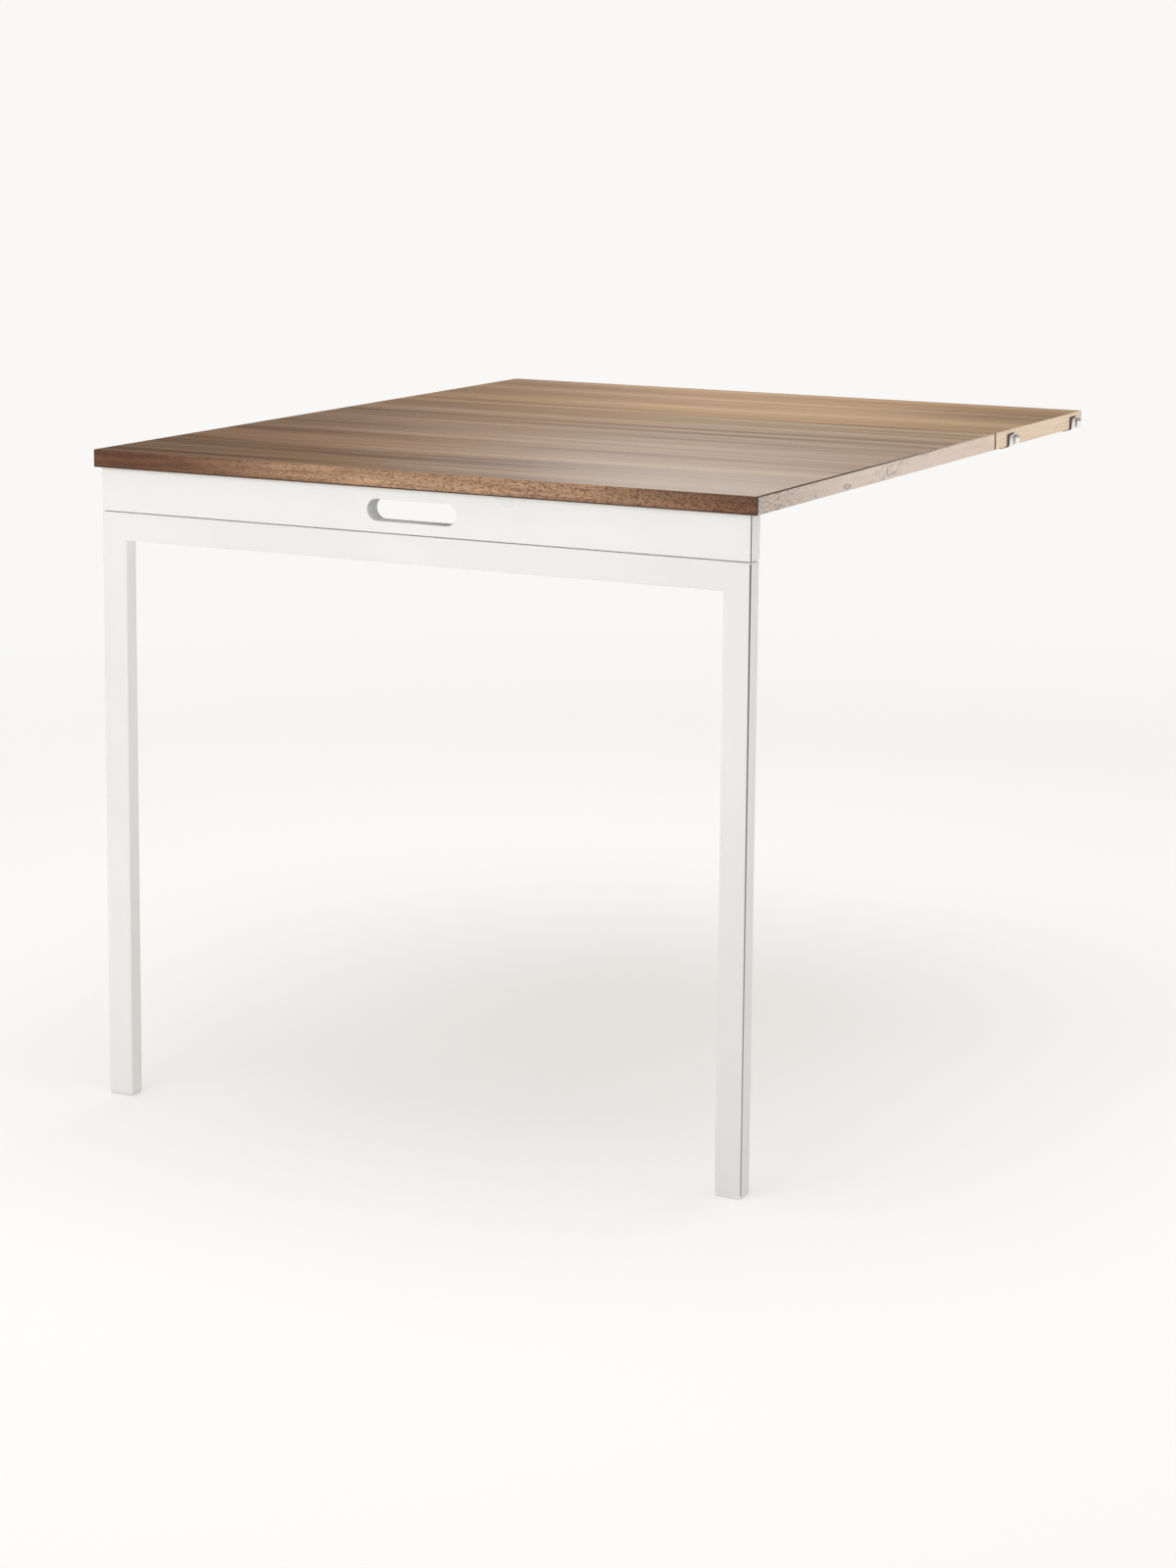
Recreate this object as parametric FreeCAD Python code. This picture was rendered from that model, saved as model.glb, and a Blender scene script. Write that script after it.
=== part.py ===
"""Wall-hung drop-leaf table: a fixed shelf on four hooks, a drop leaf and a leg frame that folds under it.

Sizes are in millimetres. X runs left to right, Y runs towards the wall and Z is up. The origin is the
middle of the four hooks, at the height of the centre of the rungs that they hang on.
"""

import math
import os

import FreeCAD
import Part

Vector = FreeCAD.Vector
X_AXIS = Vector(1, 0, 0)
Y_AXIS = Vector(0, 1, 0)
Z_AXIS = Vector(0, 0, 1)
TOUCH = 1e-6  # places closer than this are one place

# Boards
WIDTH = 780.0  # both boards, left to right
DEPTH = 960.0  # front edge of the leaf to the back edge of the shelf
HEIGHT = 715.0  # floor to the upper face of the boards
SHELF_DEPTH = 297.0
SEAM = 3.0  # gap between the leaf and the shelf
BOARD = 19.0  # thickness of both boards
ARRIS = 0.5  # rounding of the boards' edges

# Hooks, bent from one strip each, and the rungs that they hang on
RUNG = 5.0  # diameter of the rung
RUNG_CLEARANCE = 0.25  # round the rung in its seat
HOOK_STRIP = 2.0  # thickness
HOOK_WIDTH = 13.0  # along the rung
HOOK_HEIGHT = 11.5  # top of the hook to the end of its prong
HOOK_BELOW_TOP = 5.5  # upper face of the boards to the top of the hook
HOOK_FROM_SEAM = 52.0  # front edge of the shelf to the middle of the front hook
HOOK_FROM_BACK = 29.0  # back edge of the shelf to the middle of the rear hook
HOOK_BEND = 1.0  # inside radius of the bend under the board
HOOK_PLATE_REACH = 42.0  # how far the plate reaches in under the board
HOOK_PLATE_FORWARD = 18.0  # how far the plate runs forward of the hook
HOOK_PLATE_CORNER = 4.0
HOOK_PRONG_CORNER = 3.0
HOOK_SCREW_INSET = 15.2  # outer face of the hook's web, inwards to the outer screw
NOTCH_DEPTH = 6.0  # of the notch in the board's end, behind the hook
NOTCH_BELOW_TOP = 4.5  # upper face of the board to the top of the notch
NOTCH_IN_FRONT = 5.0  # notch left open in front of the hook
NOTCH_BEHIND = 1.0
NOTCH_CORNER = 3.0

# Countersunk screws, used throughout
SCREW_HEAD = 7.6  # diameter of the head
SCREW_SHANK = 3.5
SCREW_LENGTH = 15.0
SCREW_TIP = 3.0
SCREW_POINT = 0.9  # diameter of the blunt point
SCREW_CLEARANCE = 0.05  # all round, in every screw hole

# Hinges across the seam
HINGE_LENGTH = 80.0
HINGE_FROM_SIDE = 105.0  # side edge of the boards to the middle of a hinge
HINGE_PLATE = 1.8  # thickness
HINGE_PLATE_DEPTH = 32.0  # pin to the outer edge of a plate
HINGE_PLATE_CORNER = 4.0
HINGE_PIN = 4.0  # diameter
HINGE_PIN_HEAD = 6.0
HINGE_PIN_HEAD_HEIGHT = 1.2
PIN_CLEARANCE = 0.05  # all round, in every hinge and pivot
HEAD_ROUNDING = 0.8  # share of the height of a pin's or a rivet's head that is rounded
KNUCKLES = 5
KNUCKLE_GAP = 0.4  # between neighbouring knuckles
KNUCKLE_RELIEF = 0.6  # between a plate's edge and the other plate's knuckles
HINGE_SCREW_FROM_END = 11.4  # end of a plate to its outer screws

# Apron
FRAME_INSET_SIDE = 7.0  # side edge of the boards to the apron and the leg frame
FRAME_INSET_FRONT = 4.5  # front edge of the leaf to the apron and the leg frame
APRON_HEIGHT = 47.0
APRON_THICKNESS = 21.0
APRON_EDGE = 1.5  # rounding
SLOT_LENGTH = 105.0
SLOT_HEIGHT = 23.0
SLOT_EDGE = 0.6  # rounding
DOWEL = 8.0  # diameter
DOWEL_LENGTH = 30.0
DOWEL_IN_LEAF = 12.0
DOWEL_CLEARANCE = 0.05
DOWEL_FROM_MIDDLE = (172.0, 353.0)  # one pair each
ANGLE_LEG = 22.0  # both legs of an apron angle
ANGLE_WIDTH = 20.0
ANGLE_THICKNESS = 2.0
ANGLE_BEND = 1.0  # inside radius
ANGLE_FROM_MIDDLE = (-230.0, -115.0, 115.0, 230.0)

# Leg frame, welded from one tube
TUBE_WIDE = 30.0  # seen from the front
TUBE_DEEP = 20.0
TUBE_WALL = 1.5
TUBE_EDGE = 2.0  # rounding
CORNER_EDGE = 2.0  # rounding of the frame's outer corners, ground after welding
WELD = 2.0  # hollow of the weld in the frame's inner corners
FRAME_GAP = 0.8  # between the apron and the crossbar
GLIDE_FLANGE = 4.0
GLIDE_INSET = 0.3  # outside of the tube to the flange
GLIDE_PLUG = 16.0  # how far the plug goes up the tube
GLIDE_CLEARANCE = 0.1  # all round in the tube
GLIDE_EDGE = 3.0  # rounding of the sole
GLIDE_GROOVE = 2.5
GLIDE_GROOVE_DEPTH = 1.0

# Pivots of the leg frame, behind the crossbar
PIVOT_BELOW_BAR = 17.0  # top of the crossbar to the pin
PIVOT_PIN = 5.0  # diameter
PIVOT_HEAD = 8.0
PIVOT_HEAD_HEIGHT = 1.5
PIVOT_FROM_SIDE = 73.0  # side of the leg frame to the middle of a pivot
BRACKET = 2.0  # thickness of both brackets
BRACKET_WIDTH = 60.0  # outside the apron bracket's ears
BRACKET_ABOVE_EDGE = 4.0  # lower edge of the apron to the bracket's plate
BRACKET_BELOW_LEAF = 7.0  # underside of the leaf to the bracket's plate
BRACKET_BEND = 1.0  # inside radius where an ear leaves its plate
EAR_RADIUS = 5.0
EAR_GAP = 0.3  # between an apron bracket's ear and a frame bracket's ear
BRACKET_SCREW_SPACING = 30.0
RIVET_SHANK = 4.0
RIVET_HEAD = 7.0
RIVET_HEAD_HEIGHT = 1.2
RIVET_TAIL = 5.6
RIVET_TAIL_LENGTH = 4.0
RIVET_CLEARANCE = 0.05
RIVET_ABOVE_EDGE = 6.5  # lower edge of the crossbar to the rivets

# Pads
BUMPER = 12.0  # diameter
BUMPER_CLEARANCE = 0.1  # over the crossbar
BUMPER_FROM_MIDDLE = (-368.0, -200.0, 200.0, 368.0)
REST_PAD = 12.0  # diameter
REST_PAD_HEIGHT = 6.0
REST_PAD_INBOARD = 6.0  # middle of a leg, inwards to the middle of its pad
REST_PAD_DOME = 1.5  # rounding of its rim
REST_PAD_CLEARANCE = 0.3
REST_PAD_FROM_FOOT = 28.0  # foot of a leg to the place where it meets its pad when it is folded

# Places that follow from the sizes
SEAT_RADIUS = RUNG / 2 + RUNG_CLEARANCE
SIDE = WIDTH / 2
HOOK_SPACING = SHELF_DEPTH - HOOK_FROM_SEAM - HOOK_FROM_BACK
TOP = SEAT_RADIUS + HOOK_STRIP + HOOK_BELOW_TOP
UNDERSIDE = TOP - BOARD
FLOOR = TOP - HEIGHT
SHELF_FRONT = -HOOK_SPACING / 2 - HOOK_FROM_SEAM
SHELF_BACK = SHELF_FRONT + SHELF_DEPTH
LEAF_BACK = SHELF_FRONT - SEAM
FRONT = SHELF_BACK - DEPTH
HINGE_Y = (SHELF_FRONT + LEAF_BACK) / 2
KNUCKLE = HINGE_PIN / 2 + PIN_CLEARANCE + HINGE_PLATE  # radius
HINGE_Z = UNDERSIDE - KNUCKLE
FRAME_SIDE = SIDE - FRAME_INSET_SIDE
FRAME_FRONT = FRONT + FRAME_INSET_FRONT
FRAME_BACK = FRAME_FRONT + TUBE_DEEP
APRON_BACK = FRAME_FRONT + APRON_THICKNESS
APRON_BOTTOM = UNDERSIDE - APRON_HEIGHT
APRON_MIDDLE_Z = UNDERSIDE - APRON_HEIGHT / 2
BAR_TOP = APRON_BOTTOM - FRAME_GAP
BAR_BOTTOM = BAR_TOP - TUBE_WIDE
BRACKET_PLATE_HEIGHT = APRON_HEIGHT - BRACKET_ABOVE_EDGE - BRACKET_BELOW_LEAF
PIVOT_X = FRAME_SIDE - PIVOT_FROM_SIDE
PIVOT_Y = max(APRON_BACK, FRAME_BACK + BRACKET) + EAR_RADIUS
PIVOT_Z = BAR_TOP - PIVOT_BELOW_BAR
LEG_MIDDLE_X = FRAME_SIDE - TUBE_WIDE / 2
SIDES = {"left": -1, "right": 1}


# Plain forms


def box(x_span, y_span, z_span):
    """A box between two limits on each axis, given in either order."""
    low = Vector(min(x_span), min(y_span), min(z_span))
    size = [max(span) - min(span) for span in (x_span, y_span, z_span)]
    return Part.makeBox(*size, low)


def about(middle, size):
    """The two limits of a span, from its middle and its size."""
    return (middle - size / 2, middle + size / 2)


def cylinder(diameter, start, direction, length):
    return Part.makeCylinder(diameter / 2, length, start, direction)


def edges_along(shape, axis):
    """The straight edges that run along an axis."""
    found = []
    for edge in shape.Edges:
        straight = isinstance(edge.Curve, Part.Line)
        if straight and edge.tangentAt(edge.FirstParameter).cross(axis).Length < TOUCH:
            found.append(edge)
    return found


def round_edges(shape, radius, axis, keep=lambda point: True):
    """Rounds the straight edges along an axis whose middles pass the test."""
    chosen = [edge for edge in edges_along(shape, axis) if keep(edge.CenterOfMass)]
    return shape.makeFillet(radius, chosen)


def prism(outline, plane, span):
    """A flat outline, drawn in the XZ or the YZ plane, made solid along the third axis."""
    low, high = min(span), max(span)
    if plane == "XZ":
        wire = Part.makePolygon([Vector(a, low, b) for a, b in outline + outline[:1]])
        return Part.Face(wire).extrude(Y_AXIS * (high - low))
    wire = Part.makePolygon([Vector(low, a, b) for a, b in outline + outline[:1]])
    return Part.Face(wire).extrude(X_AXIS * (high - low))


def on_side(shape, side):
    """A shape modelled on the right, as it is or mirrored to the left."""
    return shape if side > 0 else shape.mirror(Vector(0, 0, 0), X_AXIS)


def cut_all(shape, tools):
    return shape.cut(Part.makeCompound(tools)) if tools else shape


# Fasteners


def countersunk(start, direction, extra=0.0):
    """A countersunk screw, with its head flush at the start. The extra is a hole's clearance."""
    head = SCREW_HEAD / 2 + extra
    shank = SCREW_SHANK / 2 + extra
    cone = Part.makeCone(head, shank, head - shank, start, direction)
    straight = Part.makeCylinder(shank, SCREW_LENGTH - SCREW_TIP, start, direction)
    tip_start = start + direction * (SCREW_LENGTH - SCREW_TIP)
    tip = Part.makeCone(shank, SCREW_POINT / 2 + extra, SCREW_TIP + extra, tip_start, direction)
    return cone.fuse([straight, tip]).removeSplitter()


def screws(places):
    return Part.makeCompound([countersunk(start, direction) for start, direction in places])


def screw_holes(places):
    return [countersunk(start, direction, SCREW_CLEARANCE) for start, direction in places]


def headed_pin(diameter, length, head, head_height, middle):
    """A pin along X with a rounded head at each end; the length is between the heads."""
    start = middle - X_AXIS * (length / 2)
    pin = cylinder(diameter, start, X_AXIS, length)
    for end, way in ((start, -X_AXIS), (start + X_AXIS * length, X_AXIS)):
        button = cylinder(head, end, way, head_height)
        face = end + way * head_height
        rim = [edge for edge in button.Edges if edge.CenterOfMass.distanceToPoint(face) < TOUCH]
        pin = pin.fuse(button.makeFillet(head_height * HEAD_ROUNDING, rim))
    return pin.removeSplitter()


# Shelf and hooks


def hook_middles():
    """The middle of each right-hand hook along Y."""
    return {"front": -HOOK_SPACING / 2, "rear": HOOK_SPACING / 2}


def hook_screw_places(middle_y):
    low = UNDERSIDE - HOOK_STRIP
    inner = SIDE - HOOK_PLATE_REACH + SCREW_HEAD
    outer = SIDE - HOOK_SCREW_INSET - HOOK_STRIP
    front = middle_y - HOOK_WIDTH / 2 - HOOK_PLATE_FORWARD / 2
    return [(Vector(outer, front, low), Z_AXIS), (Vector(inner, middle_y, low), Z_AXIS)]


def hook_strip(middle_y):
    """The bent strip: under the board, up its end, over the rung and down again."""
    web = SIDE - HOOK_STRIP
    bend = web - HOOK_BEND
    low = UNDERSIDE - HOOK_STRIP
    seat = SIDE + SEAT_RADIUS
    prong = SIDE + 2 * SEAT_RADIUS
    end = SEAT_RADIUS + HOOK_STRIP - HOOK_HEIGHT
    diagonal = math.sqrt(0.5)
    bend_middle = Vector(bend, 0, UNDERSIDE + HOOK_BEND)
    corner = Vector(diagonal, 0, -diagonal)

    def arc(first, middle, last):
        return Part.Arc(first, middle, last).toShape()

    points = [
        Vector(bend - HOOK_PLATE_CORNER, 0, low),
        Vector(bend - HOOK_PLATE_CORNER, 0, UNDERSIDE),
        Vector(bend, 0, UNDERSIDE),
        Vector(web, 0, UNDERSIDE + HOOK_BEND),
        Vector(web, 0, 0),
        Vector(prong + HOOK_STRIP, 0, 0),
        Vector(prong + HOOK_STRIP, 0, end),
        Vector(prong, 0, end),
        Vector(prong, 0, 0),
        Vector(SIDE, 0, 0),
        Vector(SIDE, 0, UNDERSIDE + HOOK_BEND),
        Vector(bend, 0, low),
    ]
    arcs = {
        2: bend_middle + corner * HOOK_BEND,
        4: Vector(seat, 0, SEAT_RADIUS + HOOK_STRIP),
        8: Vector(seat, 0, SEAT_RADIUS),
        10: bend_middle + corner * (HOOK_BEND + HOOK_STRIP),
    }
    edges = []
    for number, first in enumerate(points):
        last = points[(number + 1) % len(points)]
        if number in arcs:
            edges.append(arc(first, arcs[number], last))
        else:
            edges.append(Part.makeLine(first, last))
    strip = Part.Face(Part.Wire(edges)).extrude(Y_AXIS * HOOK_WIDTH)
    strip.translate(Y_AXIS * (middle_y - HOOK_WIDTH / 2))
    below = end + TOUCH
    return round_edges(strip, HOOK_PRONG_CORNER, X_AXIS, lambda point: point.x > prong and point.z < below)


def hook(middle_y):
    """A right-hand hook."""
    y_span = (middle_y - HOOK_WIDTH / 2 - HOOK_PLATE_FORWARD, middle_y + HOOK_WIDTH / 2)
    x_span = (SIDE - HOOK_PLATE_REACH, SIDE - HOOK_STRIP - HOOK_BEND)
    plate = box(x_span, y_span, (UNDERSIDE - HOOK_STRIP, UNDERSIDE))
    plate = round_edges(plate, HOOK_PLATE_CORNER, Z_AXIS, lambda point: point.x < SIDE / 2 + x_span[0] / 2)
    whole = plate.fuse(hook_strip(middle_y)).removeSplitter()
    return cut_all(whole, screw_holes(hook_screw_places(middle_y)))


def hook_notch(middle_y):
    """What is milled out of the board's right-hand end, from below, behind a hook."""
    y_span = (middle_y - HOOK_WIDTH / 2 - NOTCH_IN_FRONT, middle_y + HOOK_WIDTH / 2 + NOTCH_BEHIND)
    notch = box((SIDE - NOTCH_DEPTH, SIDE + BOARD), y_span, (UNDERSIDE - BOARD, TOP - NOTCH_BELOW_TOP))
    return round_edges(notch, NOTCH_CORNER, Z_AXIS, lambda point: point.x < SIDE)


def board(y_span):
    """A board with softened edges."""
    plain = box((-SIDE, SIDE), y_span, (UNDERSIDE, TOP))
    return plain.makeFillet(ARRIS, plain.Edges)


def shelf_board():
    tools = screw_holes(hinge_screw_places(1))
    for side in SIDES.values():
        for middle_y in hook_middles().values():
            tools.append(on_side(hook_notch(middle_y), side))
            tools += [on_side(hole, side) for hole in screw_holes(hook_screw_places(middle_y))]
    return cut_all(board((SHELF_FRONT, SHELF_BACK)), tools)


# Hinges across the seam


def hinge_middles():
    return {name: side * (SIDE - HINGE_FROM_SIDE) for name, side in SIDES.items()}


def hinge_screw_places(way):
    """Three screws in each plate. The way is 1 for the shelf's plates and -1 for the leaf's."""
    low = UNDERSIDE - HINGE_PLATE
    outer = HINGE_Y + way * (HINGE_PLATE_DEPTH - SCREW_HEAD)
    inner = HINGE_Y + way * (KNUCKLE + SCREW_HEAD)
    spread = HINGE_LENGTH / 2 - HINGE_SCREW_FROM_END
    places = []
    for middle_x in hinge_middles().values():
        places.append(Vector(middle_x - spread, outer, low))
        places.append(Vector(middle_x, inner, low))
        places.append(Vector(middle_x + spread, outer, low))
    return [(place, Z_AXIS) for place in places]


def hinge_plate(middle_x, way):
    """A plate with its own knuckles, cut back round those of the other plate."""
    z_span = (UNDERSIDE - HINGE_PLATE, UNDERSIDE)
    edge = HINGE_Y + way * HINGE_PLATE_DEPTH
    clear = HINGE_Y + way * (KNUCKLE + KNUCKLE_RELIEF)
    plate = box(about(middle_x, HINGE_LENGTH), (clear, edge), z_span)
    plate = round_edges(plate, HINGE_PLATE_CORNER, Z_AXIS, lambda point: abs(point.y - edge) < TOUCH)
    pitch = HINGE_LENGTH / KNUCKLES
    pieces = []
    for number in range(0 if way > 0 else 1, KNUCKLES, 2):
        knuckle_middle = middle_x + (number + 0.5) * pitch - HINGE_LENGTH / 2
        span = about(knuckle_middle, pitch - KNUCKLE_GAP)
        pieces.append(box(span, (HINGE_Y, clear), z_span))
        pieces.append(cylinder(2 * KNUCKLE, Vector(span[0], HINGE_Y, HINGE_Z), X_AXIS, span[1] - span[0]))
    whole = plate.fuse(pieces).removeSplitter()
    bore_start = Vector(middle_x - HINGE_LENGTH, HINGE_Y, HINGE_Z)
    bore = cylinder(HINGE_PIN + 2 * PIN_CLEARANCE, bore_start, X_AXIS, 2 * HINGE_LENGTH)
    return cut_all(whole, [bore] + screw_holes(hinge_screw_places(way)))


def hinge_pin(middle_x):
    middle = Vector(middle_x, HINGE_Y, HINGE_Z)
    return headed_pin(HINGE_PIN, HINGE_LENGTH, HINGE_PIN_HEAD, HINGE_PIN_HEAD_HEIGHT, middle)


# Leaf and apron


def dowel(x, extra=0.0):
    start = Vector(x, FRAME_FRONT + APRON_THICKNESS / 2, UNDERSIDE + DOWEL_IN_LEAF - DOWEL_LENGTH - extra)
    return cylinder(DOWEL + 2 * extra, start, Z_AXIS, DOWEL_LENGTH + 2 * extra)


def dowel_places():
    return [side * x for side in SIDES.values() for x in DOWEL_FROM_MIDDLE]


def dowel_holes():
    return [dowel(x, DOWEL_CLEARANCE) for x in dowel_places()]


def angle_screw_places():
    """For each angle, one screw up into the leaf and one forward into the apron."""
    reach = ANGLE_THICKNESS + (ANGLE_LEG - ANGLE_THICKNESS) / 2
    places = []
    for x in ANGLE_FROM_MIDDLE:
        places.append((Vector(x, APRON_BACK + reach, UNDERSIDE - ANGLE_THICKNESS), Z_AXIS))
        places.append((Vector(x, APRON_BACK + ANGLE_THICKNESS, UNDERSIDE - reach), -Y_AXIS))
    return places


def bracket_screw_places():
    """Three screws through each apron bracket, forward into the apron."""
    low = APRON_BOTTOM + BRACKET_ABOVE_EDGE + SCREW_HEAD
    high = APRON_BOTTOM + BRACKET_ABOVE_EDGE + BRACKET_PLATE_HEIGHT - SCREW_HEAD
    places = []
    for side in SIDES.values():
        x = side * PIVOT_X
        for along, z in ((-BRACKET_SCREW_SPACING / 2, high), (0, low), (BRACKET_SCREW_SPACING / 2, high)):
            places.append((Vector(x + along, APRON_BACK + BRACKET, z), -Y_AXIS))
    return places


def leaf_board():
    upward = [place for place in angle_screw_places() if place[1] == Z_AXIS]
    tools = screw_holes(hinge_screw_places(-1) + upward) + dowel_holes()
    return cut_all(board((FRONT, LEAF_BACK)), tools)


def slot():
    """The opening of the handle, round at both ends."""
    y_span = (FRAME_FRONT - APRON_THICKNESS, APRON_BACK + APRON_THICKNESS)
    straight = SLOT_LENGTH - SLOT_HEIGHT
    middle = box(about(0, straight), y_span, about(APRON_MIDDLE_Z, SLOT_HEIGHT))
    depth = y_span[1] - y_span[0]
    places = [Vector(x, y_span[0], APRON_MIDDLE_Z) for x in about(0, straight)]
    ends = [cylinder(SLOT_HEIGHT, place, Y_AXIS, depth) for place in places]
    return middle.fuse(ends).removeSplitter()


def apron():
    plain = box((-FRAME_SIDE, FRAME_SIDE), (FRAME_FRONT, APRON_BACK), (APRON_BOTTOM, UNDERSIDE))
    below_top = [edge for edge in plain.Edges if edge.CenterOfMass.z < UNDERSIDE - TOUCH]
    rounded = plain.makeFillet(APRON_EDGE, below_top)
    open_board = rounded.cut(slot())
    rim = []
    for edge in open_board.Edges:
        middle = edge.CenterOfMass
        at_face = min(abs(middle.y - FRAME_FRONT), abs(middle.y - APRON_BACK)) < TOUCH
        level = abs(middle.z - APRON_MIDDLE_Z) <= SLOT_HEIGHT / 2 + TOUCH
        near_slot = level and abs(middle.x) <= SLOT_LENGTH / 2
        if at_face and near_slot:
            rim.append(edge)
    softened = open_board.makeFillet(SLOT_EDGE, rim)
    forward = [place for place in angle_screw_places() if place[1] == -Y_AXIS]
    return cut_all(softened, dowel_holes() + screw_holes(forward + bracket_screw_places()))


def apron_angle(x):
    """A steel angle in the corner of the apron and the leaf."""
    x_span = about(x, ANGLE_WIDTH)
    under = box(x_span, (APRON_BACK, APRON_BACK + ANGLE_LEG), (UNDERSIDE - ANGLE_THICKNESS, UNDERSIDE))
    down = box(x_span, (APRON_BACK, APRON_BACK + ANGLE_THICKNESS), (UNDERSIDE - ANGLE_LEG, UNDERSIDE))
    whole = under.fuse(down).removeSplitter()
    inside = Vector(x, APRON_BACK + ANGLE_THICKNESS, UNDERSIDE - ANGLE_THICKNESS)
    whole = round_edges(whole, ANGLE_BEND, X_AXIS, lambda point: point.distanceToPoint(inside) < TOUCH)
    return cut_all(whole, screw_holes(angle_screw_places()))


# Pivots


def pivot_bore(middle_x):
    start = Vector(middle_x - BRACKET_WIDTH, PIVOT_Y, PIVOT_Z)
    return cylinder(PIVOT_PIN + 2 * PIN_CLEARANCE, start, X_AXIS, 2 * BRACKET_WIDTH)


def ear(outline_above, outline_below, x_span):
    """An ear: an outline in the YZ plane that ends in a round eye at the pin."""
    blade = prism(outline_above + outline_below, "YZ", x_span)
    eye = cylinder(2 * EAR_RADIUS, Vector(min(x_span), PIVOT_Y, PIVOT_Z), X_AXIS, max(x_span) - min(x_span))
    return blade.fuse(eye).removeSplitter()


def bend_rounding(x, way, face_y, z_span):
    """What the outside of a bend leaves off the square corner of a plate and its ear."""
    radius = BRACKET + BRACKET_BEND
    block = box((x, x + way * radius), (face_y, face_y + radius), z_span)
    start = Vector(x + way * radius, face_y + radius, z_span[0])
    return block.cut(cylinder(2 * radius, start, Z_AXIS, z_span[1] - z_span[0]))


def bent_bracket(plate, ears, x_span, face_y, z_span):
    """A plate and its ears as one bent piece. Its plate has its back at the face and fills the span of Z."""
    whole = plate.fuse(ears).removeSplitter()
    inside = []
    for edge in edges_along(whole, Z_AXIS):
        middle = edge.CenterOfMass
        from_end = min(middle.x - x_span[0], x_span[1] - middle.x)
        if abs(from_end - BRACKET) < TOUCH and abs(middle.y - face_y - BRACKET) < TOUCH:
            inside.append(edge)
    whole = whole.makeFillet(BRACKET_BEND, inside)
    bends = [bend_rounding(x_span[0], 1, face_y, z_span), bend_rounding(x_span[1], -1, face_y, z_span)]
    return cut_all(whole, bends)


def apron_bracket(middle_x):
    """The bracket on the apron, with an ear at each end that reaches down to the pin."""
    low = APRON_BOTTOM + BRACKET_ABOVE_EDGE
    high = low + BRACKET_PLATE_HEIGHT
    x_span = about(middle_x, BRACKET_WIDTH)
    plate = box(x_span, (APRON_BACK, APRON_BACK + BRACKET), (low, high))
    above = [(APRON_BACK, high), (APRON_BACK + BRACKET, high), (PIVOT_Y + EAR_RADIUS, low)]
    below = [(PIVOT_Y + EAR_RADIUS, PIVOT_Z), (PIVOT_Y - EAR_RADIUS, PIVOT_Z)]
    left = ear(above, below, (x_span[0], x_span[0] + BRACKET))
    right = ear(above, below, (x_span[1] - BRACKET, x_span[1]))
    whole = bent_bracket(plate, [left, right], x_span, APRON_BACK, (low, high))
    return cut_all(whole, [pivot_bore(middle_x)] + screw_holes(bracket_screw_places()))


def frame_bracket(middle_x):
    """The bracket on the crossbar, whose ears turn just inside those of the apron's bracket."""
    low = BAR_BOTTOM + TUBE_EDGE
    high = BAR_TOP - TUBE_EDGE
    x_span = about(middle_x, BRACKET_WIDTH - 2 * (BRACKET + EAR_GAP))
    face = FRAME_BACK + BRACKET
    tangent = EAR_RADIUS * math.sqrt(0.5)
    plate = box(x_span, (FRAME_BACK, face), (low, high))
    above = [(FRAME_BACK, high), (face, high), (PIVOT_Y + tangent, PIVOT_Z + tangent)]
    below = [(PIVOT_Y + tangent, PIVOT_Z - tangent), (face, low), (FRAME_BACK, low)]
    left = ear(above, below, (x_span[0], x_span[0] + BRACKET))
    right = ear(above, below, (x_span[1] - BRACKET, x_span[1]))
    whole = bent_bracket(plate, [left, right], x_span, FRAME_BACK, (low, high))
    return cut_all(whole, [pivot_bore(middle_x)] + rivet_holes())


def rivet_places():
    places = []
    for side in SIDES.values():
        for along in (-BRACKET_SCREW_SPACING / 2, BRACKET_SCREW_SPACING / 2):
            places.append(Vector(side * PIVOT_X + along, FRAME_BACK + BRACKET, BAR_BOTTOM + RIVET_ABOVE_EDGE))
    return places


def rivet(place):
    """A blind rivet through the bracket and the tube's wall, with its tail inside the tube."""
    grip = BRACKET + TUBE_WALL
    shank = cylinder(RIVET_SHANK, place, -Y_AXIS, grip)
    head = cylinder(RIVET_HEAD, place, Y_AXIS, RIVET_HEAD_HEIGHT)
    rim = [edge for edge in head.Edges if abs(edge.CenterOfMass.y - place.y - RIVET_HEAD_HEIGHT) < TOUCH]
    head = head.makeFillet(RIVET_HEAD_HEIGHT * HEAD_ROUNDING, rim)
    tail = cylinder(RIVET_TAIL, place - Y_AXIS * grip, -Y_AXIS, RIVET_TAIL_LENGTH)
    return shank.fuse([head, tail]).removeSplitter()


def rivet_holes():
    diameter = RIVET_SHANK + 2 * RIVET_CLEARANCE
    outside = Y_AXIS * RIVET_HEAD_HEIGHT
    reach = RIVET_HEAD_HEIGHT + BRACKET + TUBE_WALL + RIVET_TAIL_LENGTH
    return [cylinder(diameter, place + outside, -Y_AXIS, reach) for place in rivet_places()]


def pivot_pin(middle_x):
    middle = Vector(middle_x, PIVOT_Y, PIVOT_Z)
    return headed_pin(PIVOT_PIN, BRACKET_WIDTH, PIVOT_HEAD, PIVOT_HEAD_HEIGHT, middle)


# Leg frame


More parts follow.
